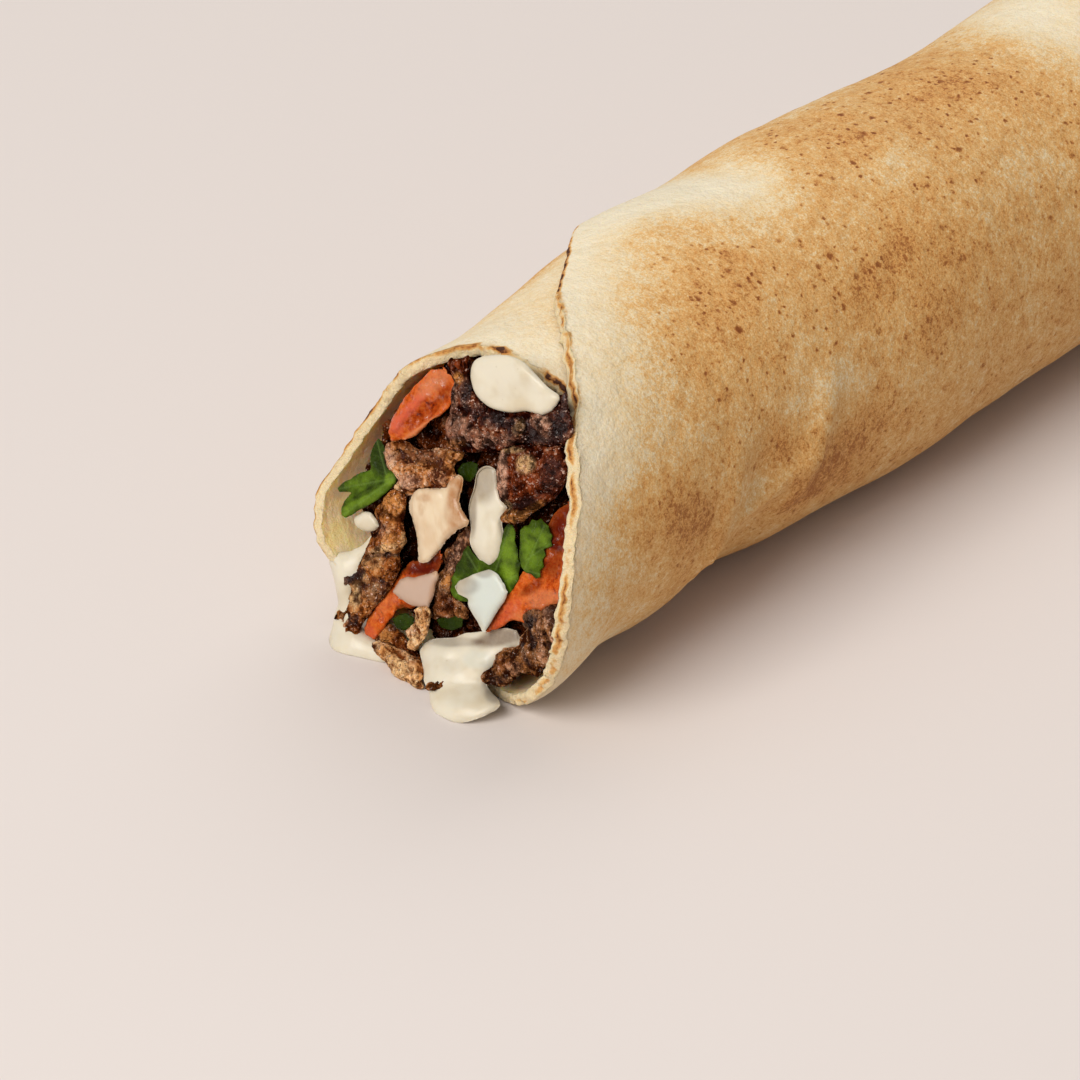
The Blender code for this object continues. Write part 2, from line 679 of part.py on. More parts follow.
def meats(food, finish):
    """The shaved pieces of meat that stand out of the face."""
    return [
        strip(
            "meat_round",
            (
                (5.6, -7.3, 33.9, 4.8, 4.0), (5.9, -10.4, 38.3, 9.7, 6.0), (6.7, -13.2, 41.9, 11.7, 7.0),
                (8.0, -15.8, 45.5, 9.7, 6.0), (9.4, -17.7, 48.1, 5.2, 5.0),
            ),
            FACING, food, finish, lumps=1.2, seed=8, root=6,
        ),
        strip(
            "meat_tip",
            (
                (12.0, 8.4, 55.4, 3.8, 4.0), (10.9, 7.4, 54.1, 4.1, 5.0), (10.1, 6.1, 52.6, 3.1, 5.0),
                (9.6, 5.8, 50.2, 4.5, 5.5), (8.8, 4.9, 47.0, 5.5, 6.0), (7.9, 4.0, 43.5, 6.2, 6.0),
                (7.7, 3.8, 39.7, 4.8, 5.0),
            ),
            FACING, food, finish, fullness=3.6, lumps=0.9, seed=9, root=2,
        ),
        strip(
            "meat_arch",
            (
                (8.9, 3.3, 44.4, 6.2, 5.0), (8.9, -3.5, 46.0, 7.2, 6.0), (9.7, -9.5, 49.1, 7.9, 6.4),
                (10.2, -14.6, 51.3, 9.0, 6.4), (10.7, -18.3, 51.8, 6.2, 5.0),
            ),
            FACING, food, finish, fullness=3.6, lumps=1.2, seed=16, root=6,
        ),
        strip(
            "meat_strip_left",
            (
                (5.1, 16.6, 28.9, 3.8, 5.0), (3.6, 16.0, 25.8, 5.2, 5.5), (2.3, 16.2, 22.0, 5.9, 6.0),
                (1.2, 17.2, 17.7, 6.9, 6.0), (0.0, 19.4, 12.6, 6.9, 6.0), (-1.1, 20.6, 8.2, 5.5, 5.5),
                (-2.7, 20.4, 3.6, 4.8, 5.0), (-4.8, 19.2, 1.6, 2.4, 3.6),
            ),
            FACING, food, finish, fullness=3.4, lumps=1.3, seed=10, root=5,
        ),
        strip(
            "meat_curl",
            (
                (7.5, 22.2, 35.6, 1.7, 3.0), (6.2, 19.6, 33.2, 2.8, 4.0), (5.4, 15.7, 31.5, 4.1, 5.0),
                (5.3, 12.0, 31.2, 4.1, 5.0), (6.0, 8.9, 34.0, 3.8, 5.0), (7.2, 7.0, 37.4, 3.1, 4.0),
                (8.3, 4.6, 38.8, 2.1, 3.0),
            ),
            FACING, food, finish, fullness=3.4, lumps=0.8, seed=11, root=4,
        ),
        strip(
            "meat_hook",
            (
                (0.0, 6.8, 11.4, 2.1, 3.0), (-0.7, 5.2, 9.7, 2.2, 3.0),
                (-1.4, 6.3, 7.2, 2.4, 3.0), (-2.0, 8.1, 4.8, 1.7, 2.6),
            ),
            FACING, food, finish, lumps=0.5, seed=12,
        ),
        strip(
            "meat_low",
            (
                (0.6, 15.3, 6.6, 3.1, 4.0), (0.4, 12.3, 5.8, 5.2, 5.0),
                (-0.1, 8.4, 5.0, 5.2, 5.0), (-0.5, 5.0, 4.7, 2.8, 4.0),
            ),
            FACING, food, finish, lumps=0.9, seed=19, root=3,
        ),
        strip(
            "meat_spill",
            (
                (-2.6, 14.4, 3.7, 3.4, 4.0), (-3.9, 10.9, 2.9, 5.2, 5.0), (-4.5, 7.2, 2.2, 5.9, 5.0),
                (-4.8, 3.8, 1.4, 4.8, 4.0), (-4.7, 0.8, 0.6, 1.4, 2.4),
            ),
            FACING, food, finish, lumps=0.9, seed=13, root=1.5,
        ),
        strip(
            "meat_crumb",
            ((-8.1, -2.2, 2.8, 1.2, 1.6), (-7.7, -3.9, 4.5, 1.7, 2.0), (-7.3, -6.3, 6.4, 1.2, 1.6)),
            FACING, food, finish, lumps=0.3, seed=18,
        ),
        strip(
            "meat_foot_right",
            (
                (3.1, -21.2, 22.5, 3.1, 5.0), (1.7, -22.3, 19.6, 4.8, 6.0), (0.4, -21.6, 16.0, 6.2, 6.5),
                (-0.8, -18.6, 12.6, 6.6, 6.5), (-2.0, -14.8, 9.2, 6.2, 6.0), (-2.8, -11.1, 6.1, 2.8, 4.0),
            ),
            FACING, food, finish, fullness=3.2, lumps=1.3, seed=14, root=6,
        ),
        strip(
            "meat_back",
            (
                (6.4, 1.2, 26.4, 2.8, 4.0), (4.8, 1.9, 21.6, 3.8, 4.5), (3.6, 4.2, 16.5, 4.5, 5.0),
                (2.6, 3.4, 12.5, 6.2, 5.0), (1.9, 1.0, 9.8, 5.2, 4.0),
            ),
            FACING, food, finish, fullness=3.2, lumps=1.0, seed=15, root=3,
        ),
    ]


def tomatoes(food, finish):
    """The three pieces of tomato slice."""
    return [
        tomato(
            "tomato_right", (1.6, -7.6, 12.4), (-0.93, -0.2, 0.3), (0, 0, 1), 23.5,
            ((-70, 0), (154, 0)), food, finish,
        ),
        tomato(
            "tomato_upper_left", (9.4, 6.4, 40.2), FACING, (0, 0, 1), 13,
            ((-58, -6.9),), food, finish,
        ),
        tomato(
            "tomato_lower_left", (1.2, 12.6, 10.6), FACING, (0, 0, 1), 8.4,
            ((136.7, 2.2), (-43.3, 2.2)), food, finish, thickness=3.6 * MM,
        ),
    ]


def main():
    clear_scene()
    food, cutters = new_collection("shawarma_sandwich"), new_collection("cutters")
    bread = finish_of("toasted_bread", (0.72, 0.50, 0.26), 0.75)
    meat = finish_of("shaved_meat", (0.13, 0.055, 0.03), 0.55)
    tomato_flesh = finish_of("tomato", (0.62, 0.09, 0.03), 0.3)
    leaf = finish_of("parsley", (0.06, 0.20, 0.02), 0.45)
    sauce = finish_of("garlic_sauce", (0.83, 0.76, 0.60), 0.35)
    onion = finish_of("onion", (0.74, 0.56, 0.42), 0.35)

    flatbread(food, bread)
    poured = sauces(food, sauce)
    front_to_back = [
        *greens(food, leaf),
        *onions(food, onion),
        poured["stream"],
        poured["drop"],
        poured["top"],
        poured["dab"],
        *meats(food, meat),
        *tomatoes(food, tomato_flesh),
        poured["pool"],
        poured["left"],
    ]
    fit_together(front_to_back, shaved_meat(food, meat), bread_cutters(cutters), cutters)
    hide_cutters(cutters)


main()
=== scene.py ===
"""The looks of a shawarma sandwich: toasted flatbread wound round meat, tomato, onion and parsley.

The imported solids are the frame. A finer piece of the same form stands for each of them: the bread is
one sheet with a torn, browned edge, and the pieces of the filling that show are traced where they
show and given depth. The filling behind them is its own solid, cut finer at its front. Sizes are in
metres where no docstring names another unit.
"""

import logging
import math
from dataclasses import dataclass, field
from enum import Enum
from typing import ClassVar

import bmesh
import bpy
from mathutils import Matrix, Vector, kdtree, noise


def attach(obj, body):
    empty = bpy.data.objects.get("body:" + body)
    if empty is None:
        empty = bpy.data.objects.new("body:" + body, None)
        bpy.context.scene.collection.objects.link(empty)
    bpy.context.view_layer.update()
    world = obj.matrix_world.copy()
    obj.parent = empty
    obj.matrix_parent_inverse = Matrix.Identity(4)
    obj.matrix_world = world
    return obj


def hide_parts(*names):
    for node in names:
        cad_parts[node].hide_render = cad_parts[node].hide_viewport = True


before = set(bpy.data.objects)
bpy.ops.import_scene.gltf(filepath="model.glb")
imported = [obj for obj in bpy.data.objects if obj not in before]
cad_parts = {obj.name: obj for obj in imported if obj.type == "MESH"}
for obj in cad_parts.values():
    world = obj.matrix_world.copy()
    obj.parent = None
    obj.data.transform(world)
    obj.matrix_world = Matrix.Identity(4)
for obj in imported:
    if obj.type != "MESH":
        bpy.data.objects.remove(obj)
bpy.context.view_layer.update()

LOG = logging.getLogger("shawarma_sandwich")
MM = 0.001
MOUTH = -112 * MM
Colour = tuple[float, float, float]
Socket = bpy.types.NodeSocket
Value = Socket | tuple | float


def ease(share: float) -> float:
    """A smooth step from 0 to 1, level before 0 and after 1."""
    share = min(max(share, 0.0), 1.0)
    return share * share * (3 - 2 * share)


def turned_by(degrees: float, start: float) -> float:
    """Degrees from one direction to another by the shorter way, negative where it runs backwards."""
    return (degrees - start + 180) % 360 - 180


def on_roll(along: float, radius: float, angle: float) -> Vector:
    """The place on a straight round roll at that many radians, for reading noise."""
    return Vector((along, radius * math.cos(angle), radius * math.sin(angle)))


def curve_through(knots: tuple, at: float) -> float:
    """Reads the smooth curve through some knots.

    Args:
        knots: (place, value) pairs in rising order of place.
        at: The place to read.

    Returns:
        The value there, held level past the first and last knots.
    """
    last = len(knots) - 2
    index = next((i for i in range(last + 1) if at <= knots[i + 1][0]), last)
    before, after = knots[index], knots[index + 1]
    span = after[0] - before[0]
    share = min(max((at - before[0]) / span, 0), 1)

    def slope(middle: int) -> float:
        """The curve's slope at a knot, over this span."""
        low, high = knots[max(middle - 1, 0)], knots[min(middle + 1, last + 1)]
        return (high[1] - low[1]) * (span / (high[0] - low[0]))

    square, cube = share**2, share**3
    return (
        before[1] * (2 * cube - 3 * square + 1)
        + slope(index) * (cube - 2 * square + share)
        + after[1] * (3 * square - 2 * cube)
        + slope(index + 1) * (cube - square)
    )


def rough(point: Vector, size: float, seed: float) -> float:
    """Smooth noise from -1 to 1 at a point, by the width of its lumps and a number for its pattern."""
    return noise.noise(point / size + Vector((seed, 2.7 * seed, -1.3 * seed)))


@dataclass(frozen=True)
class Lumps:
    """Smooth lumps of one height, width and pattern."""

    height: float
    width: float
    seed: float

    def at(self, point: Vector) -> float:
        """How high they are at a point, from minus their height to their height."""
        return self.height * rough(point, self.width, self.seed)


def to_mesh(bm: bmesh.types.BMesh, name: str) -> bpy.types.Mesh:
    """Makes a mesh of a bmesh, which is used up.

    Args:
        bm: The bmesh.
        name: The mesh's name.

    Returns:
        The mesh.
    """
    mesh = bpy.data.meshes.new(name)
    bm.to_mesh(mesh)
    bm.free()
    return mesh


# ---- finishes ----


class ShaderGraph:
    """A material's node tree, with a short call for each kind of node that the finishes use."""

    def __init__(self, name: str) -> None:
        """Starts a material.

        Args:
            name: The material's name.
        """
        self.material = bpy.data.materials.new(name)
        self.material.use_nodes = True
        self.tree = self.material.node_tree
        self.surface = self.tree.nodes["Principled BSDF"]
        self.place = self.node("ShaderNodeTexCoord").outputs["Object"]

    def node(self, kind: str, **settings: str | bool) -> bpy.types.Node:
        """Adds a node.

        Args:
            kind: Its type.
            **settings: Properties to set on it.

        Returns:
            The node.
        """
        made = self.tree.nodes.new(kind)
        for name, value in settings.items():
            setattr(made, name, value)
        return made

    def feed(self, socket: Socket, value: Value) -> None:
        """Links or sets an input.

        Args:
            socket: The input.
            value: Another node's output, a number, or a tuple.
        """
        if isinstance(value, Socket):
            self.tree.links.new(value, socket)
        else:
            socket.default_value = value

    def fill(self, node: bpy.types.Node, **values: Value) -> bpy.types.Node:
        """Links or sets a node's inputs.

        Args:
            node: The node.
            **values: What goes in by input name, with underscores for spaces.

        Returns:
            The node.
        """
        for name, value in values.items():
            self.feed(node.inputs[name.replace("_", " ")], value)
        return node

    def finish(self, **values: Value) -> None:
        """Links or sets the surface shader's inputs."""
        self.fill(self.surface, **values)

    def attribute(self, name: str) -> Socket:
        """The mesh's own value of that name at each point."""
        return self.node("ShaderNodeAttribute", attribute_name=name).outputs["Fac"]

    def stretched(self, scale: tuple, turn: tuple) -> Socket:
        """The place on the piece, turned and then scaled for a drawn-out pattern.

        Args:
            scale: The scale along each turned axis.
            turn: Euler angles in degrees.

        Returns:
            The vector output.
        """
        angles = tuple(math.radians(angle) for angle in turn)
        turned = self.fill(self.node("ShaderNodeMapping"), Vector=self.place, Rotation=angles)
        scaled = self.node("ShaderNodeVectorMath", operation="MULTIPLY")
        self.feed(scaled.inputs[0], turned.outputs[0])
        self.feed(scaled.inputs[1], scale)
        return scaled.outputs[0]

    def noise(
        self,
        size: float,
        detail: float = 3,
        roughness: float = 0.5,
        vector: Socket | None = None,
        twist: float = 0,
    ) -> Socket:
        """Noise from 0 to 1.

        Args:
            size: The width of its lumps.
            detail: How many finer layers it has.
            roughness: How strong the finer layers are.
            vector: Where to read it, if not at the place on the piece.
            twist: How much it is distorted.

        Returns:
            The value output.
        """
        made = self.fill(self.node("ShaderNodeTexNoise"), Vector=vector or self.place, Scale=1 / size)
        self.fill(made, Detail=detail, Roughness=roughness, Distortion=twist)
        return made.outputs["Fac"]

    def unevenness(self, size: float, detail: float, roughness: float) -> Socket:
        """Noise from -0.5 to 0.5."""
        return self.arithmetic("SUBTRACT", self.noise(size, detail, roughness), 0.5)

    def wavering(self, size: float, reach: float) -> Socket:
        """The place on the piece, moved about by noise, for patterns of uneven outline.

        Args:
            size: The width of the noise's lumps.
            reach: How far it moves a place.

        Returns:
            The vector output.
        """
        bent = self.fill(self.node("ShaderNodeTexNoise"), Vector=self.place, Scale=1 / size)
        moved = self.node("ShaderNodeVectorMath", operation="MULTIPLY_ADD")
        for socket, value in zip(moved.inputs, (bent.outputs["Color"], (reach, reach, reach), self.place)):
            self.feed(socket, value)
        return moved.outputs[0]

    def cells(self, size: float, vector: Socket | None = None) -> bpy.types.Node:
        """A node of scattered cells of that size, read at the place on the piece if no vector is given."""
        return self.fill(self.node("ShaderNodeTexVoronoi"), Vector=vector or self.place, Scale=1 / size)

    def red_of(self, colour: Socket) -> Socket:
        """A colour's red part, which is a steady draw for each cell."""
        parts = self.fill(self.node("ShaderNodeSeparateColor"), Color=colour)
        return parts.outputs["Red"]

    def arithmetic(
        self, kind: str, one: Value, other: Value, third: Value = 0.0, clamp: bool = False
    ) -> Socket:
        """Arithmetic on two or three values.

        Args:
            kind: The operation.
            one: The first value.
            other: The second value.
            third: The third value.
            clamp: Whether the result is kept from 0 to 1.

        Returns:
            The value output.
        """
        made = self.node("ShaderNodeMath", operation=kind, use_clamp=clamp)
        for socket, value in zip(made.inputs, (one, other, third)):
            self.feed(socket, value)
        return made.outputs[0]

    def times(self, one: Value, other: Value, clamp: bool = False) -> Socket:
        """One value times another."""
        return self.arithmetic("MULTIPLY", one, other, clamp=clamp)

    def times_plus(self, one: Value, other: Value, third: Value, clamp: bool = False) -> Socket:
        """One value times another, plus a third."""
        return self.arithmetic("MULTIPLY_ADD", one, other, third, clamp)

    def remap(self, value: Value, low: float, high: float, to_low: float = 0, to_high: float = 1) -> Socket:
        """Carries one range smoothly to another and holds it there.

        Args:
            value: The value.
            low: Its low end.
            high: Its high end.
            to_low: What the low end becomes.
            to_high: What the high end becomes.

        Returns:
            The value output.
        """
        made = self.node("ShaderNodeMapRange", interpolation_type="SMOOTHSTEP")
        self.fill(made, Value=value, From_Min=low, From_Max=high, To_Min=to_low, To_Max=to_high)
        return made.outputs["Result"]

    def mix(self, share: Value, one: Value, other: Value) -> Socket:
        """Mixes two colours.

        Args:
            share: How much of the other.
            one: The first colour or output.
            other: The other colour or output.

        Returns:
            The colour output.
        """
        made = self.fill(self.node("ShaderNodeMix", data_type="RGBA"), Factor=share)
        for socket, colour in ((made.inputs[6], one), (made.inputs[7], other)):
            self.feed(socket, (*colour, 1.0) if isinstance(colour, tuple) else colour)
        return made.outputs[2]

    def ramp(self, value: Value, stops: tuple) -> Socket:
        """Turns a value into a colour.

        Args:
            value: The value.
            stops: (value, colour) pairs in rising order.

        Returns:
            The colour output.
        """
        made = self.fill(self.node("ShaderNodeValToRGB"), Fac=value)
        elements = made.color_ramp.elements
        while len(elements) < len(stops):
            elements.new(0.5)
        for element, (position, colour) in zip(elements, stops):
            element.position = position
            element.color = (*colour, 1)
        return made.outputs["Color"]

    def bump(self, height: Value, distance: float, strength: float, below: Value | None = None) -> Socket:
        """Bumps in the surface.

        Args:
            height: Their height, from 0 to 1.
            distance: How far apart 0 and 1 are.
            strength: How much they show.
            below: Another bump that these lie on.

        Returns:
            The normal output.
        """
        made = self.fill(self.node("ShaderNodeBump"), Height=height, Distance=distance, Strength=strength)
        if below is not None:
            self.fill(made, Normal=below)
        return made.outputs["Normal"]


@dataclass(frozen=True)
class Finish:
    """A finish that pieces share."""

    name: ClassVar[str]

    def make(self) -> bpy.types.Material:
        """Builds the material."""
        raise NotImplementedError

    def shared(self) -> bpy.types.Material:
        """The material, built the first time that it is asked for."""
        return bpy.data.materials.get(self.name) or self.make()


@dataclass(frozen=True)
class ToastedBread(Finish):
    """Thin flatbread, cream where it is pale and freckled brown where it was toasted, its inner face
    brightened with painted light.
    """

    name: ClassVar[str] = "toasted_flatbread"
    pale: Colour = (0.80, 0.70, 0.51)
    straw: Colour = (0.76, 0.575, 0.325)
    golden: Colour = (0.70, 0.410, 0.150)
    brown: Colour = (0.60, 0.285, 0.078)
    dark: Colour = (0.36, 0.130, 0.030)
    fleck: Colour = (0.200, 0.048, 0.006)
    char: Colour = (0.075, 0.022, 0.008)
    crumb: Colour = (0.82, 0.665, 0.42)
    # Crumb colour for the inner face, brightened and yellowed to stand in for light shining through the
    # sheet: partly painted light.
    lining: Colour = (0.97, 0.76, 0.36)

    def make(self) -> bpy.types.Material:
        """Builds the material.

        Returns:
            The material.
        """
        graph = ShaderGraph(self.name)
        toast, rim, singe, inner = (graph.attribute(name) for name in ("toast", "rim", "singe", "inner"))
        blotch = graph.unevenness(11 * MM, 3, 0.55)
        mottle = graph.unevenness(3.2 * MM, 4, 0.6)
        grain = graph.unevenness(0.9 * MM, 5, 0.75)
        swing = graph.remap(toast, 0.0, 0.5, 0.35, 1.0)
        uneven = graph.times_plus(blotch, 0.4, graph.times(mottle, 0.75))
        uneven = graph.times_plus(grain, 1.15, uneven)
        dust = graph.unevenness(0.33 * MM, 2, 0.6)
        uneven = graph.times_plus(dust, 0.9, uneven)
        flecks = self.freckles(graph, toast)
        level = graph.times_plus(uneven, swing, toast, clamp=True)
        level = graph.times_plus(flecks, 0.45, level, clamp=True)
        baked = ((0, self.pale), (0.27, self.straw), (0.52, self.golden), (0.78, self.brown), (1, self.dark))
        colour = graph.ramp(level, baked)
        colour = graph.mix(graph.remap(flecks, 0.35, 1, 0, 0.85), colour, self.fleck)
        # The inner face's colour, with painted light.
        lining = graph.mix(graph.remap(graph.noise(5 * MM, 3), 0.35, 0.65), self.lining, self.crumb)
        colour = graph.mix(inner, colour, lining)
        crumb = graph.mix(graph.noise(1.2 * MM), self.crumb, self.straw)
        colour = graph.mix(rim, colour, crumb)
        patchy = graph.remap(graph.noise(5.5 * MM, 3, 0.6), 0.36, 0.56, 0.25, 1.2)
        fine = graph.remap(graph.noise(0.9 * MM, 4, 0.7), 0.3, 0.6, 0.75, 1.1)
        scorch = graph.times(graph.times(singe, patchy), fine, clamp=True)
        burnt = ((0, self.straw), (0.35, self.golden), (0.62, self.brown), (0.85, self.dark), (1, self.char))
        browned = graph.ramp(scorch, burnt)
        colour = graph.mix(graph.remap(scorch, 0.08, 0.45), colour, browned)
        graph.finish(
            Base_Color=colour,
            Roughness=graph.remap(grain, -0.3, 0.3, 0.55, 0.78),
            Specular_IOR_Level=0.22,
            Subsurface_Weight=graph.remap(inner, 0, 1, 0.15, 0.85),
            Subsurface_Radius=(1.0, 0.75, 0.4),
            Subsurface_Scale=2.6 * MM,
            Normal=self.grain(graph),
        )
        return graph.material

    def freckles(self, graph: ShaderGraph, toast: Socket) -> Socket:
        """Small scorched spots where the bread is browned.

        Args:
            graph: The material being built.
            toast: How toasted each point is.

        Returns:
            How scorched each point is.
        """
        spots, wavering = 0.0, graph.wavering(0.9 * MM, 1.0 * MM)
        for size, reach, share in ((1.3 * MM, 0.50, 0.40), (3.0 * MM, 0.36, 0.42), (7 * MM, 0.20, 0.65)):
            cells = graph.cells(size, vector=wavering)
            round_spot = graph.remap(cells.outputs["Distance"], reach * 0.2, reach, 1, 0)
            kept = graph.remap(graph.red_of(cells.outputs["Color"]), 1 - share, 1 - share * 0.3)
            spots = graph.arithmetic("MAXIMUM", spots, graph.times(round_spot, kept))
        toasted = graph.remap(graph.arithmetic("ADD", toast, graph.noise(14 * MM, 2)), 0.75, 1.10)
        toasted = graph.times(toasted, graph.attribute("flecked"))
        return graph.times(spots, toasted, clamp=True)

    def grain(self, graph: ShaderGraph) -> Socket:
        """The fine leathery grain, the low bubbles of the baked skin, and the torn edge's crumb.

        Args:
            graph: The material being built.

        Returns:
            The normal output.
        """
        crumbs = graph.times(graph.noise(0.9 * MM, 4, 0.7), graph.attribute("rim"))
        torn = graph.bump(crumbs, 1.0 * MM, 0.9)
        bubbles = graph.bump(graph.noise(4.2 * MM, 3, 0.6), 0.9 * MM, 0.6, torn)
        skin = graph.bump(graph.noise(1.1 * MM, 4, 0.65), 0.34 * MM, 0.8, bubbles)
        return graph.bump(graph.noise(0.35 * MM, 3, 0.6), 0.09 * MM, 0.8, skin)


@dataclass(frozen=True)
class RoastColours:
    """The colours of one roast, from its cracks over its body to its ridges."""

    cracks: Colour
    body: Colour
    warm: Colour
    ridges: Colour


class Roast(Enum):
    """How a piece of meat was roasted, and the filling core's meat darkened with painted shade."""

    CHARRED = RoastColours(
        (0.009, 0.001, 0.0005), (0.060, 0.010, 0.003), (0.160, 0.038, 0.011), (0.560, 0.290, 0.180)
    )
    BROWNED = RoastColours(
        (0.035, 0.006, 0.001), (0.235, 0.066, 0.013), (0.400, 0.145, 0.036), (0.720, 0.410, 0.210)
    )
    TENDER = RoastColours(
        (0.060, 0.010, 0.001), (0.460, 0.170, 0.050), (0.620, 0.330, 0.170), (0.840, 0.560, 0.370)
    )
    PALE = RoastColours(
        (0.130, 0.032, 0.006), (0.760, 0.430, 0.190), (0.800, 0.510, 0.260), (0.940, 0.760, 0.510)
    )
    FIBROUS = RoastColours(
        (0.030, 0.007, 0.002), (0.260, 0.098, 0.030), (0.340, 0.155, 0.066), (0.640, 0.390, 0.240)
    )
    # The core's meat, darkened to stand for the deep gaps between the pieces: painted shade.
    INNER = RoastColours(
        (0.010, 0.0015, 0.0003), (0.060, 0.011, 0.0015), (0.120, 0.027, 0.006), (0.220, 0.085, 0.035)
    )


@dataclass(frozen=True)
class RoastedMeat(Finish):
    """Shaved roast meat: grainy, greasy, dark in its cracks with painted shade where it lies low, golden,
    fatty or charred in places, and with painted highlights.
    """

    roast: Roast = Roast.BROWNED
    golden: Colour = (0.56, 0.225, 0.060)
    fat: Colour = (0.68, 0.42, 0.19)
    char: Colour = (0.016, 0.005, 0.004)
    pale: Colour = (0.50, 0.265, 0.170)
    red: Colour = (0.20, 0.036, 0.008)
    # Painted highlight: a pale colour for small spots that stand in for wet shine.
    gleam: Colour = (0.68, 0.46, 0.36)

    @property
    def name(self) -> str:
        """The material's name."""
        return f"{self.roast.name.lower()}_meat"

    def make(self) -> bpy.types.Material:
        """Builds the material.

        Returns:
            The material.
        """
        graph = ShaderGraph(self.name)
        hollow = graph.attribute("hollow")
        tints = self.roast.value
        grains = graph.cells(0.62 * MM, vector=graph.wavering(0.7 * MM, 0.5 * MM))
        dome = graph.remap(grains.outputs["Distance"], 0.08, 0.62, 1, 0)
        light = graph.times(dome, graph.remap(graph.red_of(grains.outputs["Color"]), 0.45, 0.95))
        lumps = graph.noise(1.6 * MM, 5, 0.65)
        zones = graph.times_plus(graph.noise(4.0 * MM, 2, 0.5), 0.8, -0.65)
        level = graph.times_plus(light, 0.42, graph.times_plus(lumps, 1.5, zones))
        # Painted shade: the colour is darkened where the surface lies low.
        level = graph.arithmetic("SUBTRACT", level, graph.times(hollow, 0.7), clamp=True)
        roasted = ((0.08, tints.cracks), (0.40, tints.body), (0.56, tints.warm), (0.92, tints.ridges))
        colour = graph.ramp(level, roasted)
        broken = graph.remap(graph.noise(1.4 * MM, 4, 0.65), 0.36, 0.56, 0.35, 1)
        raised = graph.remap(level, 0.02, 0.55, 0.12, 1)
        for tone in ("red", "pale", "golden", "fat"):
            shade = graph.mix(raised, tints.cracks, getattr(self, tone))
            colour = graph.mix(graph.times(graph.attribute(tone), broken), colour, shade)
        # The char tone: charring, and painted shade on a few marks.
        char = graph.attribute("char")
        colour = graph.mix(graph.times(char, 0.85), colour, self.char)
        wet = graph.remap(graph.noise(0.8 * MM, 3, 0.6), 0.55, 0.64)
        wet = graph.arithmetic("MAXIMUM", wet, graph.times(char, 0.6))
        # Painted highlights: small pale spots mixed into the colour on raised places.
        glints = graph.remap(graph.noise(0.55 * MM, 3, 0.6), 0.61, 0.67, 0, 0.7)
        colour = graph.mix(graph.times(glints, graph.remap(level, 0.1, 0.4)), colour, self.gleam)
        coarse = graph.bump(graph.noise(0.9 * MM, 3, 0.6), 0.5 * MM, 1.0)
        graph.finish(
            Base_Color=colour,
            Roughness=graph.remap(wet, 0, 1, 0.5, 0.14),
            Specular_IOR_Level=graph.remap(wet, 0, 1, 0.0, 0.75),
            Subsurface_Weight=0.05,
            Subsurface_Radius=(1.0, 0.35, 0.2),
            Subsurface_Scale=0.6 * MM,
            Normal=graph.bump(dome, 0.4 * MM, 1.0, coarse),
        )
        return graph.material


@dataclass(frozen=True)
class TomatoFlesh(Finish):
    """Wet cut tomato, with skin, deeper red and paler pulp in places; the deeper red at the right slice's top
    is painted shade.
    """

    name: ClassVar[str] = "wet_tomato"
    flesh: Colour = (0.40, 0.050, 0.002)
    light: Colour = (0.58, 0.130, 0.022)
    red: Colour = (0.085, 0.004, 0.0005)
    skin: Colour = (0.54, 0.100, 0.050)
    pulp: Colour = (0.56, 0.20, 0.085)

    def make(self) -> bpy.types.Material:
        """Builds the material.

        Returns:
            The material.
        """
        graph = ShaderGraph(self.name)
        streaks = graph.noise(2.8 * MM, 4, 0.6, twist=0.8)
        fine = graph.noise(0.6 * MM, 4, 0.7)
        level = graph.times_plus(fine, 0.75, graph.times_plus(streaks, 0.75, -0.17))
        colour = graph.ramp(level, ((0.36, self.red), (0.50, self.flesh), (0.72, self.light)))
        broken = graph.remap(graph.noise(1.5 * MM, 3, 0.6), 0.3, 0.5, 0.8, 1)
        # The red tone deepens the flesh; at the top of the right slice it is painted shade.
        for tone, tint in (("red", self.red), ("pale", self.skin), ("light", self.pulp), ("char", self.red)):
            colour = graph.mix(graph.times(graph.attribute(tone), broken), colour, tint)
        glossy = graph.remap(graph.noise(1.3 * MM, 3), 0.52, 0.64)
        wet = graph.bump(graph.noise(1.6 * MM, 4, 0.65), 0.5 * MM, 0.85)
        colour = graph.mix(graph.times(graph.attribute("edge"), 0.35), colour, self.light)
        graph.finish(
            Base_Color=colour,
            Roughness=graph.remap(glossy, 0, 1, 0.42, 0.1),
            Specular_IOR_Level=graph.remap(glossy, 0, 1, 0.04, 0.6),
            Subsurface_Weight=0.2,
            Subsurface_Radius=(1.0, 0.18, 0.05),
            Subsurface_Scale=1.2 * MM,
            Normal=graph.bump(graph.noise(0.45 * MM, 3), 0.09 * MM, 0.6, wet),
        )
        return graph.material


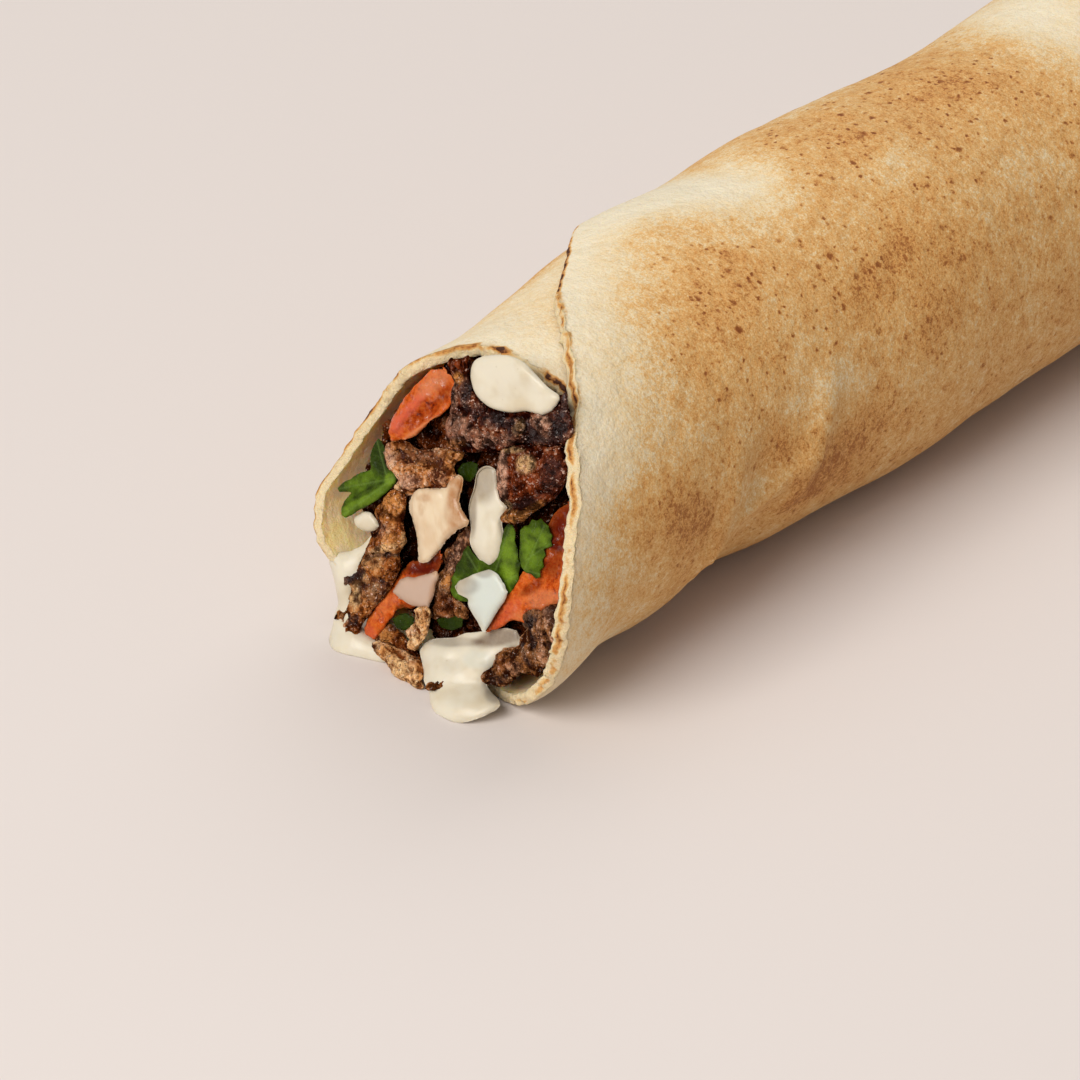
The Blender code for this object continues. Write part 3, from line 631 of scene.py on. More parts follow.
@dataclass(frozen=True)
class OnionLayer(Finish):
    """Moist, half-clear onion, tanned in places."""

    name: ClassVar[str] = "moist_onion"
    body: Colour = (0.66, 0.53, 0.365)
    clear: Colour = (0.54, 0.36, 0.21)
    tan: Colour = (0.36, 0.145, 0.040)
    pink: Colour = (0.46, 0.325, 0.245)
    brown: Colour = (0.20, 0.065, 0.016)

    def make(self) -> bpy.types.Material:
        """Builds the material.

        Returns:
            The material.
        """
        graph = ShaderGraph(self.name)
        lines = graph.noise(1.3 * MM, 3, 0.5, graph.stretched((1, 1, 0.28), (20, 0, 0)))
        patches = graph.noise(5.0 * MM, 2, 0.5)
        colour = graph.mix(graph.remap(patches, 0.4, 0.8, 0, 0.7), self.body, self.clear)
        colour = graph.mix(graph.remap(lines, 0.48, 0.70, 0, 0.4), colour, self.clear)
        colour = graph.mix(graph.attribute("pale"), colour, self.pink)
        colour = graph.mix(graph.times(graph.attribute("edge"), 0.3), colour, self.tan)
        broken = graph.remap(graph.noise(2.0 * MM, 3, 0.5), 0.25, 0.75, 0.45, 1)
        colour = graph.mix(graph.times(graph.attribute("golden"), broken), colour, self.tan)
        colour = graph.mix(graph.times(graph.attribute("char"), broken), colour, self.brown)
        graph.finish(
            Base_Color=colour,
            Roughness=0.27,
            Specular_IOR_Level=0.35,
            Subsurface_Weight=0.3,
            Subsurface_Radius=(1.0, 0.75, 0.5),
            Subsurface_Scale=1.8 * MM,
            Normal=graph.bump(lines, 0.25 * MM, 0.6),
        )
        return graph.material


@dataclass(frozen=True)
class FreshLeaf(Finish):
    """Fresh leaf, with lighter veins, a soft sheen, and painted shade where its char tone darkens it."""

    name: ClassVar[str] = "parsley_leaf"
    deep: Colour = (0.010, 0.018, 0.0005)
    fresh: Colour = (0.054, 0.100, 0.0005)
    bright: Colour = (0.15, 0.24, 0.015)
    vein: Colour = (0.17, 0.26, 0.06)

    def make(self) -> bpy.types.Material:
        """Builds the material.

        Returns:
            The material.
        """
        graph = ShaderGraph(self.name)
        vein, light, dark = graph.attribute("vein"), graph.attribute("light"), graph.attribute("char")
        patches = graph.unevenness(2.4 * MM, 3, 0.5)
        colour = graph.mix(graph.times_plus(patches, 2.6, 0.66, clamp=True), self.deep, self.fresh)
        colour = graph.mix(graph.times_plus(patches, 1.6, light, clamp=True), colour, self.bright)
        # The char tone darkens the leaf where it lies low or behind other pieces: painted shade.
        colour = graph.mix(graph.times(dark, 0.85), colour, self.deep)
        colour = graph.mix(graph.times(vein, 0.3), colour, self.vein)
        colour = graph.mix(graph.times(graph.attribute("edge"), 0.35), colour, self.deep)
        ribs = graph.bump(graph.noise(1.2 * MM, 3, 0.6), 0.6 * MM, 0.9)
        graph.finish(
            Base_Color=colour,
            Roughness=graph.remap(graph.noise(1.0 * MM, 3), 0.3, 0.7, 0.2, 0.5),
            Specular_IOR_Level=0.09,
            Subsurface_Weight=0.10,
            Subsurface_Radius=(0.4, 1.0, 0.15),
            Subsurface_Scale=0.5 * MM,
            Normal=graph.bump(graph.noise(0.4 * MM, 3), 0.1 * MM, 0.6, ribs),
        )
        return graph.material


@dataclass(frozen=True)
class GarlicSauce(Finish):
    """Thick glossy garlic sauce, darker with painted shade where it lies deep in the mouth and stained with
    meat juice in one place, whiter where it lies on a leaf.
    """

    name: ClassVar[str] = "poured_garlic_sauce"
    body: Colour = (0.635, 0.575, 0.455)
    shaded: Colour = (0.56, 0.475, 0.335)
    cool: Colour = (0.54, 0.575, 0.525)
    # Painted shade for places that lie deep or under other pieces, which also serves for a meat juice stain.
    thin: Colour = (0.115, 0.062, 0.032)

    def make(self) -> bpy.types.Material:
        """Builds the material.

        Returns:
            The material.
        """
        graph = ShaderGraph(self.name)
        colour = graph.mix(graph.remap(graph.noise(5 * MM, 2), 0.42, 0.75), self.body, self.shaded)
        streaks = graph.remap(graph.noise(1.6 * MM, 4, 0.6), 0.3, 0.6, 0.88, 1)
        colour = graph.mix(graph.attribute("light"), colour, self.cool)
        colour = graph.mix(graph.times(graph.attribute("edge"), 0.45), colour, self.shaded)
        # The char tone here is painted shade, and a meat juice stain in one place.
        colour = graph.mix(graph.times(graph.attribute("char"), streaks), colour, self.thin)
        specks = graph.remap(graph.cells(2.6 * MM).outputs["Distance"], 0.04, 0.09, 0.3, 0)
        graph.finish(
            Base_Color=graph.mix(specks, colour, (0.42, 0.36, 0.22)),
            Roughness=0.3,
            Specular_IOR_Level=0.3,
            Subsurface_Weight=0.3,
            Subsurface_Radius=(1.0, 0.8, 0.5),
            Subsurface_Scale=1.4 * MM,
            Normal=graph.bump(graph.noise(2.0 * MM, 3, 0.5), 0.3 * MM, 0.35),
        )
        return graph.material


# ---- the flatbread ----


@dataclass(frozen=True)
class Browning:
    """A soft-edged place that is browner than the rest, or paler where its strength is negative."""

    along: float
    angle: float
    length: float
    degrees: float
    strength: float

    def at(self, along: float, angle: float) -> float:
        """How much it adds at a place.

        Args:
            along: Millimetres from the mouth.
            angle: Degrees round the roll.

        Returns:
            The change of toasting there.
        """
        turned = turned_by(angle, self.angle)
        distance = (turned / self.degrees) ** 2 + ((along - self.along) / self.length) ** 2
        return self.strength * math.exp(-distance)


MM_PER_DEGREE = 0.54


@dataclass(frozen=True)
class Crease:
    """A soft ridge across the sheet from one place to another, or a valley where it is negative.

    Attributes:
        start: Where it starts: millimetres from the mouth, and degrees round the roll.
        end: Where it ends.
        width: Its width in mm.
        height: Its height in mm.
        end_phase: Where on a half wave its ends lie, which says how much they fade.
    """

    start: tuple[float, float]
    end: tuple[float, float]
    width: float
    height: float
    end_phase: float = 0.12

    def at(self, along: float, angle: float) -> float:
        """Its height at a place.

        Args:
            along: Millimetres from the mouth.
            angle: Degrees round the roll.

        Returns:
            The height in metres.
        """
        run = Vector((self.end[0] - self.start[0], MM_PER_DEGREE * (self.end[1] - self.start[1])))
        here = Vector((along - self.start[0], MM_PER_DEGREE * turned_by(angle, self.start[1])))
        share = min(max(here.dot(run) / run.length_squared, 0), 1)
        fade = math.sin(math.pi * (self.end_phase + (1 - 2 * self.end_phase) * share))
        return self.height * MM * fade * math.exp(-(((here - run * share).length / self.width) ** 2))


@dataclass(frozen=True)
class SheetForm:
    """The wound sheet's form, as its solid has it: a turn and a half, folded shut at the far end.

    The tables are in mm and degrees. radii has pairs of a distance from the mouth and a radius. front
    has pairs of degrees wound from the inner corner and the edge's distance from the mouth. swells has
    a distance from the mouth, a direction, a length, a spread in degrees and a rise for each.
    """

    thickness: float = 2.2 * MM
    pitch: float = 2.7 * MM
    start: float = 150.0
    end_turn: float = 556.0
    belly_turn: float = 240.0
    mouth_side: float = -4 * MM
    bend_length: float = 80 * MM
    fold_plane: float = 218.5 * MM
    shoulder: float = 12 * MM
    dimple_depth: float = 5 * MM
    dimple_radius: float = 1 * MM
    pleat_height: float = 1.5 * MM
    pleat_count: int = 7
    press: float = 1.2 * MM
    press_blend: float = 0.6 * MM
    relief_height: float = 0.55 * MM
    relief_pitch: float = 26 * MM
    relief_radius: float = 1.3
    lump_radius: float = 29 * MM
    lumps: tuple[Lumps, ...] = (Lumps(0.16 * MM, 8 * MM, 3), Lumps(0.07 * MM, 3.4 * MM, 5))
    radii: tuple = ((0, 26.8), (60, 27.4), (100, 28.0), (145, 27.1), (224, 27.2))
    front: tuple = (
        (0, 16), (40, 16), (68, 15.8), (82, 15), (100, 11.5), (120, 12.8), (140, 10.8), (150, 7),
        (160, 1.5), (172, -1.5), (190, -1), (215, 1), (250, 1), (290, -3), (320, -5), (336, -4),
        (352, -0.5), (376, 7), (400, 19), (424, 30.5), (440, 43.5), (456, 57), (476, 76), (500, 102),
        (530, 142), (556, 188),
    )
    swells: tuple = (
        (0, -9, 18, 22, 3.8), (0, -135, 7, 40, 1.4), (15, -135, 9, 40, -1.4), (47, -135, 11, 42, -2.1),
        (95, -132, 28, 50, 1.3), (112, -140, 20, 50, 0.6), (28, 48, 12, 45, -0.9), (62, 48, 13, 45, 1.3),
        (85, 58, 12, 55, -1.2), (155, 50, 14, 60, -0.7), (186, 60, 16, 70, 1.4),
    )
    creases: tuple[Crease, ...] = (
        Crease((70, 158), (58, 204), 2.4, 1.8),
        Crease((44, 166), (35, 206), 2.3, 1.7),
        Crease((63, 183), (35, 200), 2.2, 1.2),
        Crease((53, 170), (47, 190), 4.0, -1.1),
        Crease((60, 203), (44, 207), 4.0, -1.0),
        Crease((84, 120), (96, 70), 5.0, 0.3),
        Crease((104, 100), (112, 62), 5.0, -0.35),
    )

    def radius(self, along: float) -> float:
        """Radius of the sheet's middle at the start of its winding, at a distance from the mouth."""
        return curve_through(self.radii, along / MM) * MM

    def centre(self, along: float) -> tuple[float, float]:
        """Where the roll's axis runs.

        Args:
            along: Distance from the mouth.

        Returns:
            Its y and z.
        """
        side = self.mouth_side * (1 - ease(along / self.bend_length))
        below = self.pitch * self.belly_turn / 360 + self.thickness / 2
        return side, self.radius(along) + below - self.press

    def relief(self, along: float, angle: float) -> float:
        """The unevenness that all the layers share.

        Args:
            along: Distance from the mouth.
            angle: Radians round the roll.

        Returns:
            How far the sheet stands out.
        """
        waves = on_roll(along / self.relief_pitch, self.relief_radius, angle)
        height = self.relief_height * noise.noise(waves)
        degrees, far = math.degrees(angle), along / MM
        for place, direction, length, spread, rise in self.swells:
            turned = turned_by(degrees, direction)
            height += rise * MM * math.exp(-((turned / spread) ** 2) - ((far - place) / length) ** 2)
        height += sum(crease.at(far, degrees % 360) for crease in self.creases)
        spot = on_roll(along, self.lump_radius, angle)
        return sum((lumps.at(spot) for lumps in self.lumps), height)

    def pressed(self, level: float, height: float) -> float:
        """Presses heights near and below a level onto it.

        Args:
            level: The level.
            height: The height.

        Returns:
            The height after pressing.
        """
        over = height - level
        if over < -self.press_blend:
            return level
        if over < self.press_blend:
            return level + (over + self.press_blend) ** 2 / (4 * self.press_blend)
        return height

    def profile(self, along_sheet: float) -> tuple[float, float, tuple[float, float]]:
        """The roll's outline along the sheet.

        Args:
            along_sheet: Distance along the sheet from the mouth plane.

        Returns:
            Distance from the mouth, change of radius, and the outward normal.
        """
        first = self.fold_plane - self.shoulder
        if along_sheet <= first:
            return along_sheet, 0.0, (0.0, 1.0)
        turn = (along_sheet - first) / self.shoulder
        if turn <= math.pi / 2:
            back = first + self.shoulder * math.sin(turn)
            return back, -self.shoulder * (1 - math.cos(turn)), (math.sin(turn), math.cos(turn))
        inwards = (turn - math.pi / 2) * self.shoulder
        share = inwards / self.fold_reach
        return self.fold_plane - self.dimple_depth * ease(share), -self.shoulder - inwards, (1.0, 0.0)

    @property
    def fold_reach(self) -> float:
        """How far the fold runs inwards past the shoulder."""
        return self.radius(self.fold_plane) - self.shoulder - self.dimple_radius

    @property
    def length(self) -> float:
        """Distance along the sheet from the mouth plane to the dimple."""
        return self.fold_plane - self.shoulder + self.shoulder * math.pi / 2 + self.fold_reach

    def point(self, turn: float, along_sheet: float, out: float) -> Vector:
        """A point in or on the sheet.

        Args:
            turn: Degrees wound from the inner corner.
            along_sheet: Distance along the sheet from the mouth plane.
            out: Distance outwards from the sheet's middle.

        Returns:
            The point in the row's frame.
        """
        along, shrink, normal = self.profile(along_sheet)
        angle = math.radians(self.start - turn)
        offset = self.pitch * turn / 360
        folding = ease((along_sheet - self.fold_plane + self.shoulder) / (2 * self.shoulder))
        relief = self.relief(along, angle) * (1 - folding)
        radius = self.radius(along) + shrink + normal[1] * (offset + relief + out)
        drift = 0.55 * math.sin(angle + 0.7) + 0.3 * math.sin(2 * angle + 2.1)
        pleat = 0.5 + 0.5 * math.cos(self.pleat_count * angle + 2.4 * drift)
        along += normal[0] * (offset + out) - self.pleat_height * folding * pleat
        side, height = self.centre(along)
        height = self.pressed(self.thickness / 2 - out, height + radius * math.sin(angle))
        return Vector((MOUTH + along, side + radius * math.cos(angle), height))


@dataclass(frozen=True)
class TornEdge:
    """The sheet's torn front edge at one turn.

    Attributes:
        turn: Degrees wound from the inner corner.
        torn: Where its raggedness is read.
        front: Its distance from the mouth plane, on the inner face.
        slant: How much further back the outer face starts.
        scorch: How scorched it is.
        scorch_line: Where that is strongest, from -1 on the inner face to 1 on the outer one.
    """

    turn: float
    torn: Vector
    front: float
    slant: float
    scorch: float
    scorch_line: float

    def scorch_at(self, across: float, width: float) -> float:
        """How scorched the edge is at a place across its thickness, for a line of that width."""
        return self.scorch * math.exp(-(((across - self.scorch_line) / width) ** 2))


@dataclass
class Flatbread:
    """The rolled sheet as one closed skin: its outer face, its torn edge, and its inner face.

    The tables singed and singed_across have pairs of degrees wound and how scorched the edge is there,
    and where across it, from 0 in the middle to 1 on the outer face.
    """

    form: SheetForm = SheetForm()
    columns: int = 440
    edge_rows: int = 8
    straight_rows: int = 80
    fold_rows: int = 16
    rim_rows: int = 8
    edge_zone: float = 5 * MM
    fold_start: float = 202.5 * MM
    underlap_from: float = 156.0
    underlap_degrees: float = 36.0
    raggedness: float = 1.1 * MM
    tears: tuple[Lumps, ...] = (Lumps(0.6, 3.2 * MM, 1), Lumps(0.5, 1.2 * MM, 2), Lumps(0.3, 0.62 * MM, 6))
    tear_pitch: float = 0.5 * MM
    rim_round: float = 0.45 * MM
    rim_crumbs: Lumps = Lumps(0.55 * MM, 1.0 * MM, 4)
    rim_fade: float = 0.5 * MM
    slant: float = 1.3 * MM
    slant_from: float = 340.0
    slant_degrees: float = 30.0
    lip: float = 1.3 * MM
    lip_turn: float = 322.0
    lip_degrees: float = 26.0
    ground_toast: float = 0.60
    ground_drift: Lumps = Lumps(0.10, 22 * MM, 9)
    patch_radius: float = 30 * MM
    edge_toast: float = 0.12
    fade: float = 38 * MM
    fade_drift: Lumps = Lumps(4 * MM, 14 * MM, 13)
    inner_toast: float = 0.12
    inner_drift: Lumps = Lumps(0.14, 9 * MM, 7)
    singe_width: float = 0.38
    singe_width_behind: float = 0.55
    singe_reach: float = 0.75 * MM
    singe_drift: Lumps = Lumps(0.4, 2.3 * MM, 8)
    brownings: tuple[Browning, ...] = (
        Browning(66, 201, 12, 12, 0.22),
        Browning(73, 187, 14, 9, 0.26),
        Browning(27, 178, 8, 9, 0.26),
        Browning(18, 164, 12, 12, 0.26),
        Browning(8, 158, 8, 8, 0.30),
        Browning(55, 174, 5, 8, 0.28),
        Browning(70, 165, 11, 7, -0.20),
        Browning(97, 166, 7, 6, 0.20),
        Browning(85, 145, 7, 7, 0.24),
        Browning(96, 137, 6, 6, 0.22),
        Browning(55, 120, 13, 12, 0.14),
        Browning(45, 186, 9, 9, -0.14),
        Browning(80, 88, 12, 16, -0.48),
        Browning(72, 68, 14, 14, -0.55),
        Browning(36, 88, 13, 13, -0.22),
        Browning(48, 62, 24, 14, -0.34),
        Browning(140, 98, 15, 12, 0.18),
        Browning(108, 112, 6, 7, -0.22),
        Browning(172, 80, 13, 40, -0.60),
        Browning(110, 60, 20, 12, -0.18),
        Browning(137, 136, 9, 8, -0.14),
        Browning(60, 20, 26, 26, 0.10),
        Browning(128, -5, 24, 30, 0.16),
        Browning(95, -70, 30, 30, -0.25),
        Browning(180, -40, 26, 40, 0.10),
        Browning(190, 160, 20, 40, -0.20),
    )
    # Painted shade: a browner band along the mouth's edge on the roll's shaded side, where less light falls.
    dull: Browning = Browning(4, 188, 18, 32, 0.23)
    flecks: tuple[Browning, ...] = (
        Browning(130, 88, 45, 42, 0.5),
        Browning(55, 128, 34, 26, 0.35),
        Browning(110, 90, 400, 900, 0.6),
    )
    singed: tuple = (
        (0, 0.95), (22, 0.9), (34, 1.1), (46, 1.25), (50, 0.2), (60, 0.35), (64, 1.3), (69, 0.85), (90, 0.62),
        (112, 0.75), (131, 0.6), (136, 1.3), (142, 0.7), (160, 0.75), (172, 0.35), (200, 0.2),
        (240, 0.15), (276, 0.4), (300, 0.68), (330, 0.82), (345, 0.7), (356, 0.8), (372, 0.85),
        (388, 0.9), (402, 0.9), (430, 1.0), (450, 1.0), (470, 0.7), (500, 0.5), (556, 0.5),
    )
    singed_across: tuple = (
        (0, 0.75), (170, 0.85), (250, 0.5), (300, 0.05), (345, 0.0), (372, 0.2), (404, 0.35),
        (425, 0.85), (556, 0.9),
    )

    @property
    def side_rows(self) -> int:
        """Rows of faces on one side, from the edge to the dimple."""
        return self.edge_rows + self.straight_rows + self.fold_rows

    def along_sheet(self, row: int, front: float, turn: float) -> float:
        """Where a row lies.

        Args:
            row: Rows behind the edge.
            front: The edge's distance from the mouth plane.
            turn: Degrees wound.

        Returns:
            Distance along the sheet from the mouth plane.
        """
        form = self.form
        if row <= self.edge_rows:
            return front + self.edge_zone * (row / self.edge_rows) ** 1.5
        start = front + self.edge_zone
        if row <= self.edge_rows + self.straight_rows:
            share = (row - self.edge_rows) / self.straight_rows
            return start + share * (self.fold_start - start)
        share = (row - self.edge_rows - self.straight_rows) / self.fold_rows
        reach = max(ease((turn - self.underlap_from) / self.underlap_degrees), 0.04)
        return self.fold_start + share * reach * (form.length - self.fold_start)

    def toast_at(self, along: float, angle: float, behind: float) -> float:
        """How toasted the outer face is, with painted shade added along the mouth's edge on the roll's shaded
        side.

        Args:
            along: Metres from the mouth.
            angle: Degrees round the roll.
            behind: Metres behind the sheet's edge.

        Returns:
            The toasting, from 0 to 1.
        """
        toast = self.ground_toast + sum(patch.at(along / MM, angle) for patch in self.brownings)
        spot = on_roll(along, self.patch_radius, math.radians(angle))
        toast += self.ground_drift.at(spot)
        baked = ease((behind + self.fade_drift.at(spot)) / self.fade)
        toast *= self.edge_toast + (1 - self.edge_toast) * baked
        # Adds the painted shade along the mouth's edge on the shaded side.
        return min(max(toast + self.dull.at(along / MM, angle), 0.0), 1.0)

    def torn_edge(self, turn: float) -> TornEdge:
        """The torn edge at a turn.

        Args:
            turn: Degrees wound from the inner corner.

        Returns:
            The edge there.
        """
        torn = Vector((turn * self.tear_pitch, 0, 0))
        crumbs = sum(tear.at(torn) for tear in self.tears)
        lip = self.lip * math.exp(-(((turn - self.lip_turn) / self.lip_degrees) ** 2))
        return TornEdge(
            turn=turn,
            torn=torn,
            front=curve_through(self.form.front, turn) * MM + self.raggedness * crumbs - lip,
            slant=self.slant * ease((turn - self.slant_from) / self.slant_degrees) + lip,
            scorch=curve_through(self.singed, turn),
            scorch_line=curve_through(self.singed_across, turn) + self.singe_drift.at(torn),
        )

    def rim_place(self, edge: TornEdge, share: float) -> tuple[float, float]:
        """A place on the torn rim.

        Args:
            edge: The edge at that turn.
            share: How far it is from the outer face to the inner one.

        Returns:
            Its distance from the mouth plane, and its place across, from 1 outside to -1 inside.
        """
        bend = math.pi * (0.5 - share)
        across = math.copysign(abs(math.sin(bend)) ** 0.75, bend)
        crumbs = self.rim_crumbs.at(edge.torn + Vector((0, across * MM, 0)))
        place = edge.front + self.rim_round * (1 - math.cos(bend)) + crumbs
        return place + edge.slant * (across + 1) / 2, across

    def skin(self) -> bmesh.types.BMesh:
        """Bends a flat grid round the roll.

        Returns:
            The closed skin, with toast, rim, singe, inner and flecked values at its points.
        """
        form, side_rows = self.form, self.side_rows
        rows = 2 * side_rows + self.rim_rows
        edges = [self.torn_edge(form.end_turn * column / self.columns) for column in range(self.columns + 1)]
        bm = bmesh.new()
        names = ("toast", "rim", "singe", "inner", "flecked")
        toast, rim, singe, inner, flecked = (bm.verts.layers.float.new(name) for name in names)
        bmesh.ops.create_grid(bm, x_segments=self.columns, y_segments=rows, size=0.5)
        ends: dict[tuple[int, int], bmesh.types.BMVert] = {}
        for vert in bm.verts:
            column = round((vert.co.x + 0.5) * self.columns)
            row = round((vert.co.y + 0.5) * rows)
            edge, past = edges[column], row - side_rows
            if 0 < past < self.rim_rows:
                place, across = self.rim_place(edge, past / self.rim_rows)
                behind = 0.0
                vert[rim] = 1.0
                vert[singe] = edge.scorch_at(across, self.singe_width)
            else:
                across, slant = (1.0, edge.slant) if past <= 0 else (-1.0, 0.0)
                back = -past if past <= 0 else past - self.rim_rows
                place = self.along_sheet(back, edge.front + self.rim_round + slant, edge.turn)
                behind = place - edge.front - slant
                reach = math.exp(-(((behind - self.rim_round) / self.singe_reach) ** 2))
                vert[rim] = math.exp(-behind / self.rim_fade) * 0.9
                vert[singe] = edge.scorch_at(across, self.singe_width_behind) * reach
            angle = form.start - edge.turn
            spot = form.point(edge.turn, place, across * form.thickness / 2)
            if across >= 1:
                vert[toast] = self.toast_at(place, angle, behind)
                vert[flecked] = min(sum(patch.at(place / MM, angle) for patch in self.flecks), 1.0)
            else:
                vert[toast] = self.inner_toast + self.inner_drift.at(spot)
                vert[inner] = 1.0 if across <= -1 else 0.3
            vert.co = spot
            if row in (0, rows) or column in (0, self.columns):
                ends[column, row] = vert
        self.close(bm, ends, rows)
        bmesh.ops.recalc_face_normals(bm, faces=bm.faces)
        return bm

    def close(self, bm: bmesh.types.BMesh, ends: dict, rows: int) -> None:
        """Joins the outer face to the inner one at the dimple and along the sheet's two sides.

        Args:
            bm: The open skin.
            ends: Its border vertices by (column, row).
            rows: The number of rows.
        """
        top = [bm.edges.get((ends[c, 0], ends[c + 1, 0])) for c in range(self.columns)]
        bottom = [bm.edges.get((ends[c, rows], ends[c + 1, rows])) for c in range(self.columns)]
        bmesh.ops.bridge_loops(bm, edges=top + bottom)
        bmesh.ops.holes_fill(bm, edges=[edge for edge in bm.edges if edge.is_boundary], sides=0)
        long_faces = [face for face in bm.faces if len(face.verts) > 4]
        bmesh.ops.triangulate(bm, faces=long_faces)

    def build(self) -> bpy.types.Object:
        """Makes the piece."""
        return place_piece(self.skin(), "rolled_flatbread", ToastedBread(), "toasted_bread", "flatbread")


def place_piece(
    bm: bmesh.types.BMesh, name: str, finish: Finish, slot: str, *nodes: str
) -> bpy.types.Object:
    """Makes a finished piece and puts it in the scene, on the part's one body.

    Args:
        bm: Its mesh, which is used up.
        name: Its name.
        finish: Its finish.
        slot: Not used.
        *nodes: The solids it stands for.

    Returns:
        The piece.
    """
    made = bpy.data.objects.new(name, to_mesh(bm, name))
    made.data.shade_smooth()
    made.data.materials.append(finish.shared())
    bpy.context.scene.collection.objects.link(made)
    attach(made, "root")
    if nodes:
        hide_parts(*nodes)
    LOG.info("%s: %d faces", made.name, len(made.data.polygons))
    return made


# ---- pieces of the filling, each traced where it shows in the mouth ----


@dataclass(frozen=True)
class Sight:
    """The photograph's view, which places a piece of the filling by where it shows."""

    azimuth: float = 49.0
    elevation: float = 30.7
    lens: float = 230.0
    sensor: float = 36.0
    image: float = 1080.0
    distance: float = 1165.5 * MM
    aim: tuple = (MOUTH, -4 * MM, 28.5 * MM)
    aim_right: float = 15.2 * MM
    aim_down: float = 0.68 * MM
    search: float = 0.2
    search_steps: int = 30
    table_gap: float = 0.15 * MM

    @property
    def level(self) -> Vector:
        """The level direction away from the eye."""
        turn = math.radians(self.azimuth)
        return Vector((math.sin(turn), math.cos(turn), 0))

    @property
    def right(self) -> Vector:
        """The direction to the picture's right."""
        turn = math.radians(self.azimuth)
        return Vector((math.cos(turn), -math.sin(turn), 0))

    @property
    def forward(self) -> Vector:
        """The direction that the eye looks in."""
        tilt = math.radians(self.elevation)
        return math.cos(tilt) * self.level - math.sin(tilt) * Vector((0, 0, 1))

    @property
    def up(self) -> Vector:
        """The direction to the picture's top."""
        return self.right.cross(self.forward)

    @property
    def eye(self) -> Vector:
        """Where the camera stands."""
        back = Vector(self.aim) - self.distance * self.forward
        return back + self.aim_right * self.right - self.aim_down * self.up

    @property
    def focal(self) -> float:
        """The lens's focal length in pixels."""
        return self.lens / self.sensor * self.image

    def ray(self, x: float, y: float) -> Vector:
        """The direction through a place in the picture, in pixels, a unit long along the view."""
        middle = self.image / 2
        return self.forward + self.right * ((x - middle) / self.focal) - self.up * ((y - middle) / self.focal)

    def meet(self, x: float, y: float, lie: tuple) -> Vector:
        """Where the ray through a place in the picture meets a leaning surface or the table.

        Args:
            x: Pixels from the picture's left side.
            y: Pixels from its top.
            lie: (height, along) pairs in mm, which give the surface's lean.

        Returns:
            The point.
        """
        eye, ray = self.eye, self.ray(x, y)
        near, far = self.distance - self.search, self.distance + self.search
        for _ in range(self.search_steps):
            middle = (near + far) / 2
            spot = eye + ray * middle
            short = spot.x < curve_through(lie, spot.z / MM) * MM + MOUTH
            near, far = (middle, far) if short else (near, middle)
        table = (self.table_gap - eye.z) / ray.z
        return eye + ray * min(near, table)

    def picture(self, point: Vector) -> tuple[float, float]:
        """Where a point shows in the picture.

        Args:
            point: The point.

        Returns:
            Its place in pixels.
        """
        offset = point - self.eye
        scale, middle = self.focal / offset.dot(self.forward), self.image / 2
        return middle + offset.dot(self.right) * scale, middle - offset.dot(self.up) * scale


SIGHT = Sight()
PIXEL = 0.169 * MM

# Surfaces that pieces lie on: heights over the table and distances from the mouth plane, in mm.
FACE = ((0, -4.6), (60, 10.1))
SPILLED = ((0, -6.6), (1.5, -6.4), (3, -5.6), (4, -4.2), (9, -0.8))
POURED = ((0, -11.5), (1.2, -10), (2.4, -8.6), (3.3, -6.2), (4.6, -3.9), (6, -2.6), (8.5, -1.0), (14, 0.6))
OUTSIDE = ((0, -6.0), (3, -4.2), (8, -2.4), (14, -0.9), (22, 1.0))


class Tone(Enum):
    """A colour that a piece has in places, named as the attribute that carries it. The char tone is charring
    on meat, and painted shade on some meat, sauce and leaf marks.
    """

    GOLDEN = "golden"
    FAT = "fat"
    CHAR = "char"
    PALE = "pale"
    RED = "red"
    LIGHT = "light"


GOLDEN, FAT, CHAR, PALE, RED, LIGHT = Tone


@dataclass(frozen=True)
class Mark:
    """An oval place on a piece, in picture pixels.

    Attributes:
        x: Its middle.
        y: Its middle.
        wide: Half its width.
        tall: Half its height.
        rise: How far it stands out, in mm.
        tone: The tone that it has.
        amount: How much of that tone.
        turn: Degrees that it is turned by.
    """

    x: float
    y: float
    wide: float
    tall: float
    rise: float = 0.0
    tone: Tone | None = None
    amount: float = 1.0
    turn: float = 0.0

    def distance(self, x: float, y: float) -> float:
        """How far a place is from the oval's middle.

        Args:
            x: Pixels from the picture's left side.
            y: Pixels from its top.

        Returns:
            The distance, 1 on the oval.
        """
        east, south = x - self.x, y - self.y
        cosine, sine = math.cos(math.radians(self.turn)), math.sin(math.radians(self.turn))
        across, up = east * cosine - south * sine, east * sine + south * cosine
        return math.hypot(across / self.wide, up / self.tall)


def keep_largest(bm: bmesh.types.BMesh) -> None:
    """Deletes the loose bits that a thin tip leaves, and keeps the piece itself.

    Args:
        bm: The mesh.
    """
    left, largest = set(bm.verts), set()
    while left:
        island, growing = set(), [left.pop()]
        while growing:
            vert = growing.pop()
            island.add(vert)
            near = {edge.other_vert(vert) for edge in vert.link_edges} & left
            left -= near
            growing += near
        largest = max(largest, island, key=len)
    bmesh.ops.delete(bm, geom=[vert for vert in bm.verts if vert not in largest], context="VERTS")


